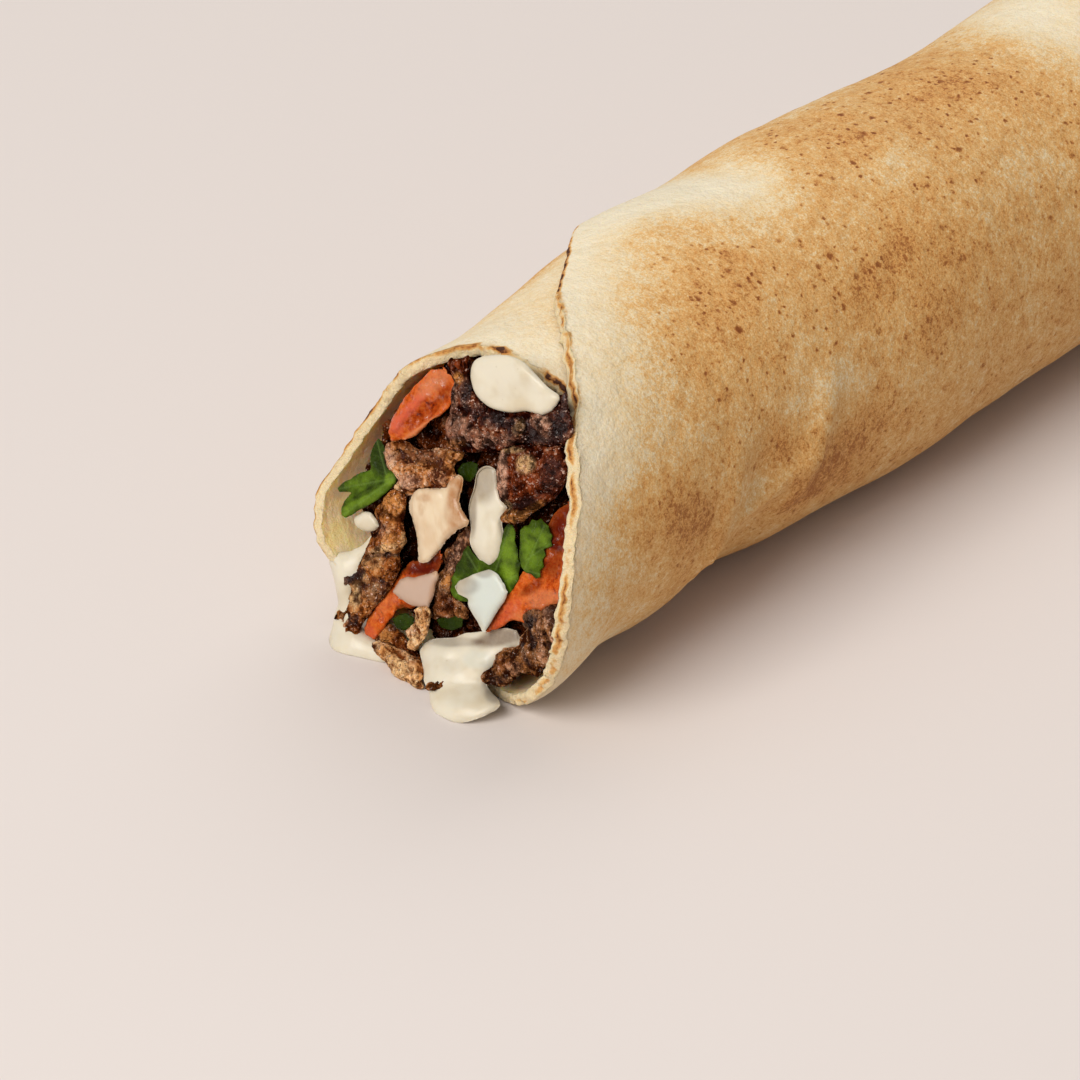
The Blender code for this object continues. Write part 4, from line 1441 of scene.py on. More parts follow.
@dataclass
class TracedPiece:
    """A piece of the filling: an outline as it shows, given depth, rounded and worked up.

    Attributes:
        name: The piece's name.
        node: The solid that it stands for, if it has one.
        outline: Its outline, in picture pixels.
        lie: The surface that its front lies on.
        proud: How far it stands out from there, in mm.
        depth: How far it reaches back, in mm.
        taper: How wide its back is beside its front.
        edge: How far in from the outline its front is rounded, in mm.
        drop: How far the rounding falls back, in mm.
        voxel: The size of its faces, in mm.
        smoothing: How often it is smoothed.
        marks: Places that stand out or have a tone.
        tones: The tones that its finish reads.
        brink: How far in from the outline its edge's tint fades, in mm.
        mark_reach: Where a mark's tone ends, 1 being its oval.
        mark_blend: How wide the tone's soft border is.
    """

    name: str
    node: str | None
    outline: tuple
    lie: tuple = FACE
    proud: float = 0.0
    depth: float = 5.0
    taper: float = 0.86
    edge: float = 2.4
    drop: float = 1.6
    voxel: float = 0.26
    smoothing: int = 3
    marks: tuple[Mark, ...] = ()
    slot: str = "meat"
    tones: tuple[Tone, ...] = ()
    seed: float = 1.0
    brink: float = 0.55
    mark_reach: float = 1.35
    mark_blend: float = 0.7

    def block(self) -> bpy.types.Mesh:
        """The outline as a block, from its front face back along the line of sight.

        Returns:
            A closed mesh.
        """
        bm = bmesh.new()
        spots = (SIGHT.meet(x, y, self.lie) - SIGHT.forward * self.proud * MM for x, y in self.outline)
        face = bm.faces.new([bm.verts.new(spot) for spot in spots])
        region = bmesh.ops.extrude_face_region(bm, geom=[face])
        back = [item for item in region["geom"] if isinstance(item, bmesh.types.BMVert)]
        middle = sum((vert.co for vert in back), Vector()) / len(back)
        for vert in back:
            vert.co = middle + (vert.co - middle) * self.taper + SIGHT.forward * self.depth * MM
        bmesh.ops.holes_fill(bm, edges=[edge for edge in bm.edges if edge.is_boundary], sides=0)
        bmesh.ops.triangulate(bm, faces=bm.faces)
        bmesh.ops.recalc_face_normals(bm, faces=bm.faces)
        return to_mesh(bm, f"{self.name}_block")

    def fine(self) -> bmesh.types.BMesh:
        """The block with even small faces, smoothed.

        Returns:
            A bmesh.
        """
        mesh = self.block()
        block = bpy.data.objects.new(mesh.name, mesh)
        bpy.context.scene.collection.objects.link(block)
        remesh = block.modifiers.new("even_faces", "REMESH")
        remesh.mode = "VOXEL"
        remesh.voxel_size = self.voxel * MM
        evaluated = block.evaluated_get(bpy.context.evaluated_depsgraph_get())
        even = bpy.data.meshes.new_from_object(evaluated)
        bpy.data.objects.remove(block)
        bpy.data.meshes.remove(mesh)
        bm = bmesh.new()
        bm.from_mesh(even)
        bpy.data.meshes.remove(even)
        keep_largest(bm)
        self.soften(bm, self.smoothing)
        return bm

    def soften(self, bm: bmesh.types.BMesh, times: int) -> None:
        """Smooths the mesh.

        Args:
            bm: The mesh.
            times: How often.
        """
        for _ in range(times):
            bmesh.ops.smooth_vert(
                bm, verts=bm.verts, factor=0.5, use_axis_x=True, use_axis_y=True, use_axis_z=True
            )
        bm.normal_update()

    def crown(self, bm: bmesh.types.BMesh) -> None:
        """Rounds the front towards its outline, and raises and tints its marked places.

        Args:
            bm: The mesh.
        """
        tones = {tone: bm.verts.layers.float.new(tone.value) for tone in self.tones}
        brink = bm.verts.layers.float.new("edge")
        rim = self.rim_tree()
        moved = []
        for vert in bm.verts:
            x, y = SIGHT.picture(vert.co)
            inwards = rim.find((x, y, 0))[2] * PIXEL / MM
            share = 1 - min(inwards / self.edge, 1)
            vert[brink] = math.exp(-inwards / self.brink)
            facing = ease((0.6 - vert.normal.dot(SIGHT.forward)) / 1.2)
            back = self.drop * (1 - math.sqrt(max(1 - share**2, 0)))
            for mark in self.marks:
                distance = mark.distance(x, y)
                if mark.rise:
                    back -= mark.rise * math.exp(-(distance**2))
                if mark.tone is not None:
                    tinted = mark.amount * ease((self.mark_reach - distance) / self.mark_blend)
                    vert[tones[mark.tone]] = min(vert[tones[mark.tone]] + tinted, 1.0)
            moved.append((vert, vert.co + SIGHT.forward * back * facing * MM))
        for vert, spot in moved:
            vert.co = spot
        bm.normal_update()

    def rim_tree(self) -> kdtree.KDTree:
        """Puts places along the outline in a search tree.

        Returns:
            The tree, in pixels.
        """
        places = []
        for (x0, y0), (x1, y1) in zip(self.outline, (*self.outline[1:], self.outline[0])):
            steps = max(round(math.hypot(x1 - x0, y1 - y0)), 1)
            places += [(x0 + (x1 - x0) * n / steps, y0 + (y1 - y0) * n / steps, 0) for n in range(steps)]
        tree = kdtree.KDTree(len(places))
        for number, place in enumerate(places):
            tree.insert(place, number)
        tree.balance()
        return tree

    def texture(self, bm: bmesh.types.BMesh) -> None:
        """Gives the piece its surface; each kind of piece has its own."""
        raise NotImplementedError

    def finish(self) -> Finish:
        """The piece's finish."""
        raise NotImplementedError

    def build(self) -> bpy.types.Object:
        """Makes the piece.

        Returns:
            The object.
        """
        bm = self.fine()
        self.crown(bm)
        self.texture(bm)
        if min(vert.co.z for vert in bm.verts) < 0:
            whole = (*bm.verts, *bm.edges, *bm.faces)
            bmesh.ops.bisect_plane(
                bm, geom=whole, plane_co=(0, 0, 0), plane_no=(0, 0, 1), clear_inner=True
            )
            bmesh.ops.holes_fill(bm, edges=[edge for edge in bm.edges if edge.is_boundary], sides=0)
            bmesh.ops.triangulate(bm, faces=[face for face in bm.faces if len(face.verts) > 4])
        nodes = (self.node,) if self.node else ()
        return place_piece(bm, self.name, self.finish(), self.slot, *nodes)


MEAT_TONES = (GOLDEN, FAT, CHAR, PALE, RED)


@dataclass(frozen=True)
class MeatSurface:
    """The surface of roast meat: lumps, grains with cracks between them, and fibres.

    Their heights (lump, grit and thread) and the grains' wander are in mm. drawn_grains and drawn_fibres
    say how far each pattern is drawn out along the fibres.
    """

    seed: float
    fibres: Vector
    lump: float
    grit: float
    thread: float
    wander: float = 0.6
    wander_size: float = 1.2 * MM
    lump_size: float = 3.2 * MM
    small_lump_size: float = 1.4 * MM
    grain_size: float = 0.95 * MM
    grit_size: float = 0.6 * MM
    fibre_size: float = 0.85 * MM
    drawn_grains: float = 0.6
    drawn_fibres: float = 0.82

    def apply(self, bm: bmesh.types.BMesh) -> None:
        """Moves each point in or out.

        Args:
            bm: The mesh, which gets a value for its hollows, which its finish darkens as painted shade.
        """
        hollow = bm.verts.layers.float.new("hollow")
        brink = bm.verts.layers.float.get("edge")
        seed, fibres = self.seed, self.fibres
        moved = []
        for vert in bm.verts:
            spot = vert.co
            drawn = spot - fibres * spot.dot(fibres) * self.drawn_fibres
            aside = (rough(spot, self.wander_size, seed + 1), rough(spot, self.wander_size, seed + 2), 0)
            bent = spot + Vector(aside) * self.wander * MM
            bent -= fibres * bent.dot(fibres) * self.drawn_grains
            near, next_near = noise.voronoi(bent / self.grain_size)[0][:2]
            grain = min((next_near - near) / 0.4, 1.0)
            lumps = rough(spot, self.lump_size, seed) + 0.75 * rough(spot, self.small_lump_size, seed + 3)
            threads = 1 - 2 * abs(rough(drawn, self.fibre_size, seed + 5))
            grains = rough(bent, self.grit_size, seed + 7)
            rise = self.lump * lumps + self.grit * (grain - 0.7 + grains) + self.thread * threads
            rise *= 1 - 0.6 * vert[brink] if brink else 1
            moved.append((vert, spot + vert.normal * rise * MM))
            # How low each point lies, which the finish darkens as painted shade.
            sunk = 0.47 - 0.6 * lumps - 0.12 * grain - 0.22 * threads - 0.25 * grains
            vert[hollow] = min(max(sunk, 0.0), 1.0)
        for vert, spot in moved:
            vert.co = spot


@dataclass
class MeatPiece(TracedPiece):
    """A shaved piece of meat, lumpy and gritty, with its fibres along one direction."""

    tones: tuple[Tone, ...] = MEAT_TONES
    roast: Roast = Roast.BROWNED
    fibres: tuple = (0.0, 0.3, 1.0)
    lump: float = 0.6
    grit: float = 0.22
    thread: float = 0.2

    def texture(self, bm: bmesh.types.BMesh) -> None:
        """Gives the piece lumps, grains and fibres."""
        fibres = Vector(self.fibres).normalized()
        MeatSurface(self.seed, fibres, self.lump, self.grit, self.thread).apply(bm)

    def finish(self) -> Finish:
        """The meat's finish, shared by the pieces of one roast."""
        return RoastedMeat(self.roast)


@dataclass
class SaucePour(TracedPiece):
    """A pour of garlic sauce, smooth and full."""

    slot: str = "garlic_sauce"
    tones: tuple[Tone, ...] = (CHAR, LIGHT)
    smoothing: int = 6
    ripple: float = 0.3
    ripple_size: float = 4.5 * MM

    def texture(self, bm: bmesh.types.BMesh) -> None:
        """Gives the pour slow ripples and smooths it.

        Args:
            bm: The mesh.
        """
        for vert in bm.verts:
            vert.co += vert.normal * self.ripple * MM * rough(vert.co, self.ripple_size, self.seed)
        self.soften(bm, 4)

    def finish(self) -> Finish:
        """The sauce's finish."""
        return GarlicSauce()


@dataclass
class OnionPiece(TracedPiece):
    """A piece of onion, moist, with faint steps along its layers."""

    slot: str = "onion"
    tones: tuple[Tone, ...] = (GOLDEN, PALE, CHAR)
    smoothing: int = 4
    step: float = 0.14
    step_size: float = 1.6 * MM
    step_drawn: float = 0.3
    swell: float = 0.3
    swell_size: float = 3.5 * MM

    def texture(self, bm: bmesh.types.BMesh) -> None:
        """Gives the piece its faint steps.

        Args:
            bm: The mesh.
        """
        for vert in bm.verts:
            layered = Vector((vert.co.x, vert.co.y, vert.co.z * self.step_drawn))
            rise = self.step * rough(layered, self.step_size, self.seed)
            rise += self.swell * rough(vert.co, self.swell_size, self.seed)
            vert.co += vert.normal * rise * MM

    def finish(self) -> Finish:
        """The onion's finish."""
        return OnionLayer()


@dataclass
class TomatoPiece(TracedPiece):
    """Part of a tomato slice, wet, with skin and paler pulp in places."""

    slot: str = "tomato"
    tones: tuple[Tone, ...] = (RED, PALE, LIGHT, CHAR)
    swell: float = 0.4
    swell_size: float = 2.8 * MM
    bump: float = 0.22
    bump_size: float = 1.0 * MM

    def texture(self, bm: bmesh.types.BMesh) -> None:
        """Gives the flesh low bumps.

        Args:
            bm: The mesh.
        """
        for vert in bm.verts:
            rise = self.swell * rough(vert.co, self.swell_size, self.seed)
            rise += self.bump * rough(vert.co, self.bump_size, self.seed)
            vert.co += vert.normal * rise * MM

    def finish(self) -> Finish:
        """The tomato's finish, shared by the slices."""
        return TomatoFlesh()


@dataclass
class ParsleyLeaf(TracedPiece):
    """A parsley leaflet: a thin bent blade with veins, whose widths and pitch are in picture pixels."""

    slot: str = "parsley"
    tones: tuple[Tone, ...] = (LIGHT, CHAR)
    veins: tuple = ()
    depth: float = 0.55
    taper: float = 1.0
    edge: float = 0.8
    drop: float = 0.15
    voxel: float = 0.16
    smoothing: int = 2
    vein_width: float = 0.9
    vein_depth: float = 0.16
    branch_pitch: float = 8.0
    branch_slope: float = 0.9
    branch_width: float = 0.16
    branch_reach: float = 7.0
    wave: float = 0.5
    wave_size: float = 2.8 * MM

    def texture(self, bm: bmesh.types.BMesh) -> None:
        """Marks the veins and sinks them a little.

        Args:
            bm: The mesh.
        """
        layer = bm.verts.layers.float.new("vein")
        for vert in bm.verts:
            x, y = SIGHT.picture(vert.co)
            vert[layer] = max((self.vein(x, y, *vein) for vein in self.veins), default=0.0)
        for vert in bm.verts:
            wave = self.wave * rough(vert.co, self.wave_size, self.seed)
            vert.co += SIGHT.forward * (self.vein_depth * vert[layer] + wave) * MM

    def vein(self, x: float, y: float, x0: float, y0: float, x1: float, y1: float) -> float:
        """How near a place is to a vein and its branches.

        Args:
            x: Pixels from the picture's left side.
            y: Pixels from its top.
            x0: The vein's root.
            y0: The vein's root.
            x1: The vein's tip.
            y1: The vein's tip.

        Returns:
            1 on the vein, falling to 0 beside it.
        """
        length = math.hypot(x1 - x0, y1 - y0)
        along = ((x - x0) * (x1 - x0) + (y - y0) * (y1 - y0)) / length
        across = abs((x - x0) * (y1 - y0) - (y - y0) * (x1 - x0)) / length
        if not -1 < along < length + 1:
            return 0.0
        branch = abs(((along - across * self.branch_slope) / self.branch_pitch) % 1 - 0.5) * 2
        fading = 0.55 * math.exp(-across / self.branch_reach)
        branches = fading * math.exp(-(((1 - branch) / self.branch_width) ** 2))
        return max(math.exp(-((across / self.vein_width) ** 2)), branches)

    def finish(self) -> Finish:
        """The leaf's finish."""
        return FreshLeaf()


@dataclass
class FillingCore:
    """The filling behind the pieces, fine at its front alone, as the bread hides the rest."""

    node: str = "shaved_meat"
    front_depth: float = 26 * MM
    longest_edges: tuple[float, ...] = (4 * MM, 2 * MM, 1.1 * MM, 0.7 * MM)
    fibres: tuple = (1.0, 0.0, 0.2)
    lump: float = 0.9
    grit: float = 0.35
    thread: float = 0.1
    seed: float = 2.0

    def build(self) -> bpy.types.Object:
        """Makes the piece from a copy of its solid, with its faces near the mouth cut finer.

        Returns:
            The object.
        """
        bm = bmesh.new()
        bm.from_mesh(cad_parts[self.node].data)
        bmesh.ops.remove_doubles(bm, verts=bm.verts, dist=0.002 * MM)
        front = MOUTH + self.front_depth
        for longest in self.longest_edges:
            long_edges = [
                edge
                for edge in bm.edges
                if edge.calc_length() > longest and min(vert.co.x for vert in edge.verts) < front
            ]
            bmesh.ops.subdivide_edges(bm, edges=long_edges, cuts=1)
            bmesh.ops.triangulate(bm, faces=bm.faces, quad_method="SHORT_EDGE")
        bm.normal_update()
        for tone in MEAT_TONES:
            bm.verts.layers.float.new(tone.value)
        fibres = Vector(self.fibres).normalized()
        MeatSurface(self.seed, fibres, self.lump, self.grit, self.thread).apply(bm)
        # Its meat is darkened as painted shade of the gaps between the pieces.
        return place_piece(bm, "inner_meat", RoastedMeat(Roast.INNER), "meat", self.node)


# ---- the filling as a whole ----

# The charred pieces at the top, and the light curled slice under them.
UPPER_MEATS: tuple[MeatPiece, ...] = (
    MeatPiece(
        "charred_leg", "meat_tip",
        (
            (445, 368), (448, 362), (450, 357), (454, 358), (459, 359), (463, 357), (468, 354), (471, 359),
            (470, 366), (469, 374), (471, 382), (473, 390), (477, 397), (482, 404), (488, 410), (490, 422),
            (488, 436), (484, 447), (474, 453), (462, 452), (452, 451), (446, 447), (446, 436), (447, 425),
            (449, 414), (451, 404), (450, 395), (452, 388), (455, 381), (451, 376), (447, 373),
        ),
        proud=0.2, depth=6, roast=Roast.CHARRED, lump=0.75, seed=6,
        marks=(
            Mark(460, 364, 11, 7, 0.4, RED, 0.8), Mark(459, 378, 5, 6, 0.2, GOLDEN, 0.9),
            # The pale band down its left side is painted light; the dark strip down its right side is char
            # with painted shade.
            Mark(454, 396, 4, 17, 0.5, PALE, 0.5), Mark(466, 394, 6, 16, -0.6, CHAR, 0.8),
            Mark(458, 428, 12, 14, 0.8, PALE, 0.5), Mark(476, 436, 12, 8, 0.4, PALE, 0.3),
            Mark(478, 412, 8, 10, -0.8, CHAR, 0.6), Mark(456, 444, 10, 5, 0.3, GOLDEN, 0.4),
        ),
    ),
    MeatPiece(
        "charred_arch", "meat_arch",
        (
            (480, 410), (486, 408), (493, 406), (500, 408), (508, 411), (520, 411), (531, 412), (545, 412),
            (552, 410), (557, 402), (562, 394), (567, 390), (568, 402), (570, 412), (572, 421), (574, 430),
            (571, 439), (566, 445), (556, 449), (545, 449), (535, 446), (526, 442), (517, 444), (508, 447),
            (501, 453), (492, 452), (482, 451), (472, 452), (464, 450), (468, 440), (472, 428), (475, 418),
        ),
        proud=-0.2, depth=6, roast=Roast.CHARRED, fibres=(0, 1, 0.2), lump=0.8, seed=8,
        marks=(
            Mark(494, 420, 13, 9, 0.9, CHAR, 0.6), Mark(512, 430, 8, 12, -0.5, CHAR, 0.5),
            Mark(519, 426, 6, 8, 0.5, FAT, 0.35), Mark(529, 432, 5, 14, -0.9, CHAR, 0.8),
            Mark(543, 428, 8, 14, 0.8, PALE, 0.4), Mark(560, 426, 10, 18, 0.2, CHAR, 0.7),
            Mark(486, 440, 12, 7, 0.5, PALE, 0.4), Mark(506, 440, 8, 6, 0.3, PALE, 0.3),
            Mark(565, 400, 4, 10, 0.0, CHAR, 0.8), Mark(541, 421, 10, 6, 0.4, PALE, 0.5),
            Mark(474, 446, 8, 6, 0.3, PALE, 0.5), Mark(535, 440, 18, 4, -0.6, CHAR, 0.7),
        ),
    ),
    MeatPiece(
        "round_piece", "meat_round",
        (
            (500, 450), (508, 448), (518, 445), (528, 443), (540, 446), (552, 448), (562, 445), (568, 451),
            (571, 461), (570, 471), (567, 481), (562, 490), (557, 497), (550, 502), (541, 508), (531, 514),
            (524, 522), (513, 525), (504, 523), (499, 519), (503, 514), (508, 508), (504, 503), (499, 498),
            (497, 488), (496, 475), (497, 462),
        ),
        proud=1.6, depth=8, roast=Roast.CHARRED, edge=3.2, drop=2.6, lump=0.45, seed=4,
        fibres=(0.2, -0.6, 0.8), grit=0.16, thread=0.1,
        marks=(
            Mark(534, 475, 30, 28, 0, RED, 0.55), Mark(501, 476, 6, 28, 0.3, PALE, 1),
            Mark(509, 477, 4, 24, -0.5, RED, 0.8), Mark(526, 464, 9, 9, 0.4, FAT, 0.75),
            Mark(512, 450, 12, 3, 0.3, FAT, 0.6), Mark(537, 476, 22, 20, 0.9),
            Mark(552, 474, 12, 18, 0, CHAR, 0.45), Mark(528, 501, 22, 3.5, -0.9, CHAR, 0.3, 20),
            # The char mark on its right side, at (552, 474), is painted shade.
            Mark(514, 517, 14, 6, 0.7, GOLDEN, 1), Mark(533, 508, 13, 5, 0.3, GOLDEN, 0.7, 28),
            Mark(506, 506, 6, 5, 0.2, FAT, 0.8), Mark(530, 480, 6, 8, -0.3, RED, 0.4),
        ),
    ),
    MeatPiece(
        "light_curl", "meat_curl",
        (
            (386, 444), (391, 441), (400, 440), (409, 442), (414, 448), (424, 450), (434, 449), (444, 448),
            (454, 450), (466, 452), (462, 458), (456, 462), (453, 468), (456, 475), (461, 478), (457, 483),
            (450, 482), (447, 489), (440, 492), (432, 492), (426, 488), (420, 490), (415, 495), (406, 495),
            (398, 492), (393, 488), (397, 484), (399, 480), (395, 474), (389, 470), (386, 462), (384, 452),
        ),
        proud=-0.9, depth=6, roast=Roast.TENDER, fibres=(0, 1, 0.3), lump=0.6, seed=12,
        marks=(
            # The char mark in the recess under the tomato is painted shade; the red beside it is the meat's
            # own.
            Mark(414, 456, 26, 11, -2.6, RED, 0.55), Mark(418, 455, 27, 10, 0, CHAR, 0.45),
            Mark(400, 448, 12, 7, 0, GOLDEN, 0.5), Mark(425, 466, 12, 5, -0.6, GOLDEN, 0.6),
            Mark(388, 456, 4, 16, 0.8, PALE, 0.8), Mark(407, 482, 14, 8, 0.9, PALE, 0.8),
            Mark(440, 474, 8, 14, 1.0, PALE, 0.5), Mark(430, 480, 4, 10, -0.8, RED, 0.4),
            Mark(455, 457, 10, 6, 0.7, GOLDEN, 0.9), Mark(396, 487, 5, 4, 0.3, FAT, 0.7),
            Mark(447, 465, 6, 8, 0.2, GOLDEN, 0.5),
        ),
    ),
)

# The browned strip down the left, and the pieces at the foot.
LOWER_MEATS: tuple[MeatPiece, ...] = (
    MeatPiece(
        "browned_strip", "meat_strip_left",
        (
            (396, 488), (402, 492), (407, 496), (405, 505), (405, 514), (403, 522), (405, 531), (406, 540),
            (402, 547), (399, 554), (401, 561), (400, 570), (396, 579), (390, 588), (384, 596), (377, 603),
            (371, 611), (366, 619), (361, 626), (358, 634), (356, 643), (353, 650), (346, 651), (341, 646),
            (339, 637), (341, 628), (340, 621), (334, 619), (337, 612), (344, 606), (349, 600), (350, 592),
            (350, 585), (345, 585), (341, 580), (343, 575), (350, 572), (356, 569), (360, 562), (363, 555),
            (367, 549), (370, 542), (371, 536), (376, 531), (380, 526), (378, 517), (376, 509), (381, 502),
            (385, 495), (390, 490),
        ),
        proud=0.5, depth=6.5, roast=Roast.BROWNED, fibres=(0, -0.3, 1), seed=10, lump=0.7, edge=2.8, drop=2.0,
        marks=(
            Mark(391, 507, 11, 15, 0.5, GOLDEN, 0.8), Mark(399, 524, 4, 10, 0.2, RED, 0.4),
            Mark(383, 530, 8, 8, 0.4, PALE, 0.4), Mark(392, 541, 9, 8, 0.3, GOLDEN, 0.7),
            Mark(384, 549, 15, 4, 0.5, FAT, 0.7, 15), Mark(388, 555, 14, 3, -1.2, CHAR, 0.8),
            Mark(372, 562, 12, 7, 0.5, FAT, 0.35), Mark(391, 565, 8, 8, 0.6, RED, 0.3),
            Mark(347, 577, 7, 7, 0.5, CHAR, 0.8), Mark(358, 574, 7, 6, -0.4, CHAR, 0.5),
            Mark(375, 590, 13, 13, 0.0, CHAR, 0.55), Mark(355, 595, 6, 14, 0.4, FAT, 0.85),
            Mark(363, 578, 6, 6, 0.3, FAT, 0.5), Mark(341, 613, 6, 5, 0.0, GOLDEN, 0.9),
            Mark(350, 620, 10, 6, -0.6, CHAR, 0.5), Mark(345, 640, 6, 9, 0.5, GOLDEN, 0.4),
            Mark(403, 540, 3, 8, 0.2, FAT, 0.6),
        ),
    ),
    MeatPiece(
        "brown_back", "meat_back",
        (
            (468, 525), (473, 531), (472, 541), (468, 550), (463, 559), (458, 569), (454, 578), (453, 590),
            (457, 600), (464, 605), (470, 613), (468, 620), (456, 618), (443, 619), (433, 620), (429, 612),
            (433, 604), (435, 595), (433, 586), (437, 577), (443, 570), (446, 562), (440, 556), (446, 549),
            (453, 543), (459, 534),
        ),
        proud=-2.4, depth=5, roast=Roast.FIBROUS, fibres=(0, 0.1, 1), seed=24, edge=1.6, drop=1.2,
        marks=(
            Mark(457, 552, 7, 22, 0.5, PALE, 0.7, -25), Mark(446, 580, 8, 6, 0.3, GOLDEN, 0.7),
            Mark(445, 605, 12, 12, 0.0, RED, 0.5), Mark(469, 533, 4, 6, 0, CHAR, 0.6),
            Mark(441, 592, 8, 5, 0, CHAR, 0.4),
        ),
    ),
    MeatPiece(
        "low_shred", "meat_low",
        (
            (376, 634), (384, 628), (391, 624), (397, 630), (403, 634), (407, 641), (413, 646), (419, 653),
            (423, 661), (417, 665), (408, 660), (398, 654), (387, 650), (377, 647), (372, 641),
        ),
        proud=-1.8, depth=5, roast=Roast.BROWNED, seed=16, lump=0.4,
        marks=(
            Mark(384, 636, 9, 6, 0.0, GOLDEN, 0.9), Mark(405, 650, 16, 5, 0.3, RED, 0.5, -35),
            Mark(392, 628, 5, 4, 0, CHAR, 0.6),
        ),
    ),
    MeatPiece(
        "spilled_shred", "meat_spill",
        (
            (371, 643), (378, 640), (388, 643), (396, 648), (405, 651), (413, 656), (420, 660), (425, 667),
            (425, 675), (421, 682), (425, 688), (418, 691), (411, 687), (407, 682), (400, 680), (393, 676),
            (390, 669), (385, 662), (379, 656), (373, 651),
        ),
        lie=SPILLED, depth=4.5, roast=Roast.PALE, fibres=(0.2, 1, 0), seed=18, lump=0.55,
        marks=(
            Mark(385, 652, 12, 8, 0.3, GOLDEN, 0.8), Mark(408, 657, 16, 5, 0.2, RED, 0.7, -30),
            Mark(398, 666, 14, 7, 0.4, FAT, 0.6, -35), Mark(420, 672, 5, 12, 0.2, GOLDEN, 0.8),
            Mark(376, 648, 5, 5, 0.0, CHAR, 0.4), Mark(418, 687, 8, 4, 0.0, FAT, 0.7),
            Mark(408, 668, 6, 5, -0.3, RED, 0.4),
        ),
    ),
    MeatPiece(
        "hooked_shred", "meat_hook",
        (
            (414, 609), (420, 606), (428, 606), (431, 612), (430, 621), (429, 630), (425, 638), (420, 645),
            (415, 651), (409, 650), (407, 644), (411, 640), (406, 637), (405, 631), (411, 627), (416, 622),
            (417, 615),
        ),
        proud=0.0, depth=3.5, roast=Roast.PALE, seed=14, lump=0.35, grit=0.35, edge=1.4, drop=1.0, voxel=0.22,
        marks=(
            Mark(424, 620, 4, 14, 0.3, GOLDEN, 0.6), Mark(410, 632, 6, 5, 0.2, PALE, 0.6),
            Mark(413, 646, 6, 4, 0.0, GOLDEN, 0.5),
        ),
    ),
    MeatPiece(
        "fibrous_foot", "meat_foot_right",
        (
            (558, 604), (562, 612), (564, 622), (565, 630), (561, 637), (561, 644), (556, 651), (553, 659),
            (549, 665), (544, 671), (538, 678), (529, 673), (520, 673), (515, 680), (508, 685), (500, 688),
            (493, 685), (485, 684), (480, 679), (484, 672), (492, 667), (495, 660), (498, 653), (506, 649),
            (514, 649), (520, 646), (521, 638), (525, 632), (530, 627), (524, 620), (525, 613), (533, 610),
            (541, 611), (549, 606),
        ),
        proud=0.9, depth=6.5, roast=Roast.FIBROUS, fibres=(0.1, 0.35, 0.9), seed=22, thread=0.42, lump=0.7,
        edge=2.2,
        marks=(
            Mark(530, 620, 7, 9, -0.9, CHAR, 0.7), Mark(552, 616, 8, 10, 0.7, PALE, 0.5),
            Mark(541, 640, 3, 26, 0.6, PALE, 0.4, 6), Mark(533, 640, 3, 22, -0.7, CHAR, 0.5, 6),
            Mark(548, 644, 2.5, 22, -0.6, CHAR, 0.4, 6), Mark(555, 644, 3, 16, 0.4, PALE, 0.3, 12),
            Mark(526, 655, 4, 12, -0.5, CHAR, 0.6, 20), Mark(504, 664, 9, 7, 0.4, RED, 0.35),
            Mark(498, 680, 12, 4, -0.3, CHAR, 0.4), Mark(514, 668, 8, 6, 0.4, PALE, 0.4),
            Mark(543, 610, 8, 4, 0.2, PALE, 0.4),
        ),
    ),
    MeatPiece(
        "crumb", "meat_crumb",
        (
            (424, 688), (428, 684), (434, 680), (440, 676), (446, 675), (450, 678), (448, 683), (442, 688),
            (435, 691), (428, 691),
        ),
        lie=POURED, proud=1.0, depth=2.2, roast=Roast.BROWNED, seed=20, lump=0.25, grit=0.3, edge=1.0,
        drop=0.8, voxel=0.2, marks=(Mark(432, 686, 7, 5, 0, GOLDEN, 0.5),),
    ),
)

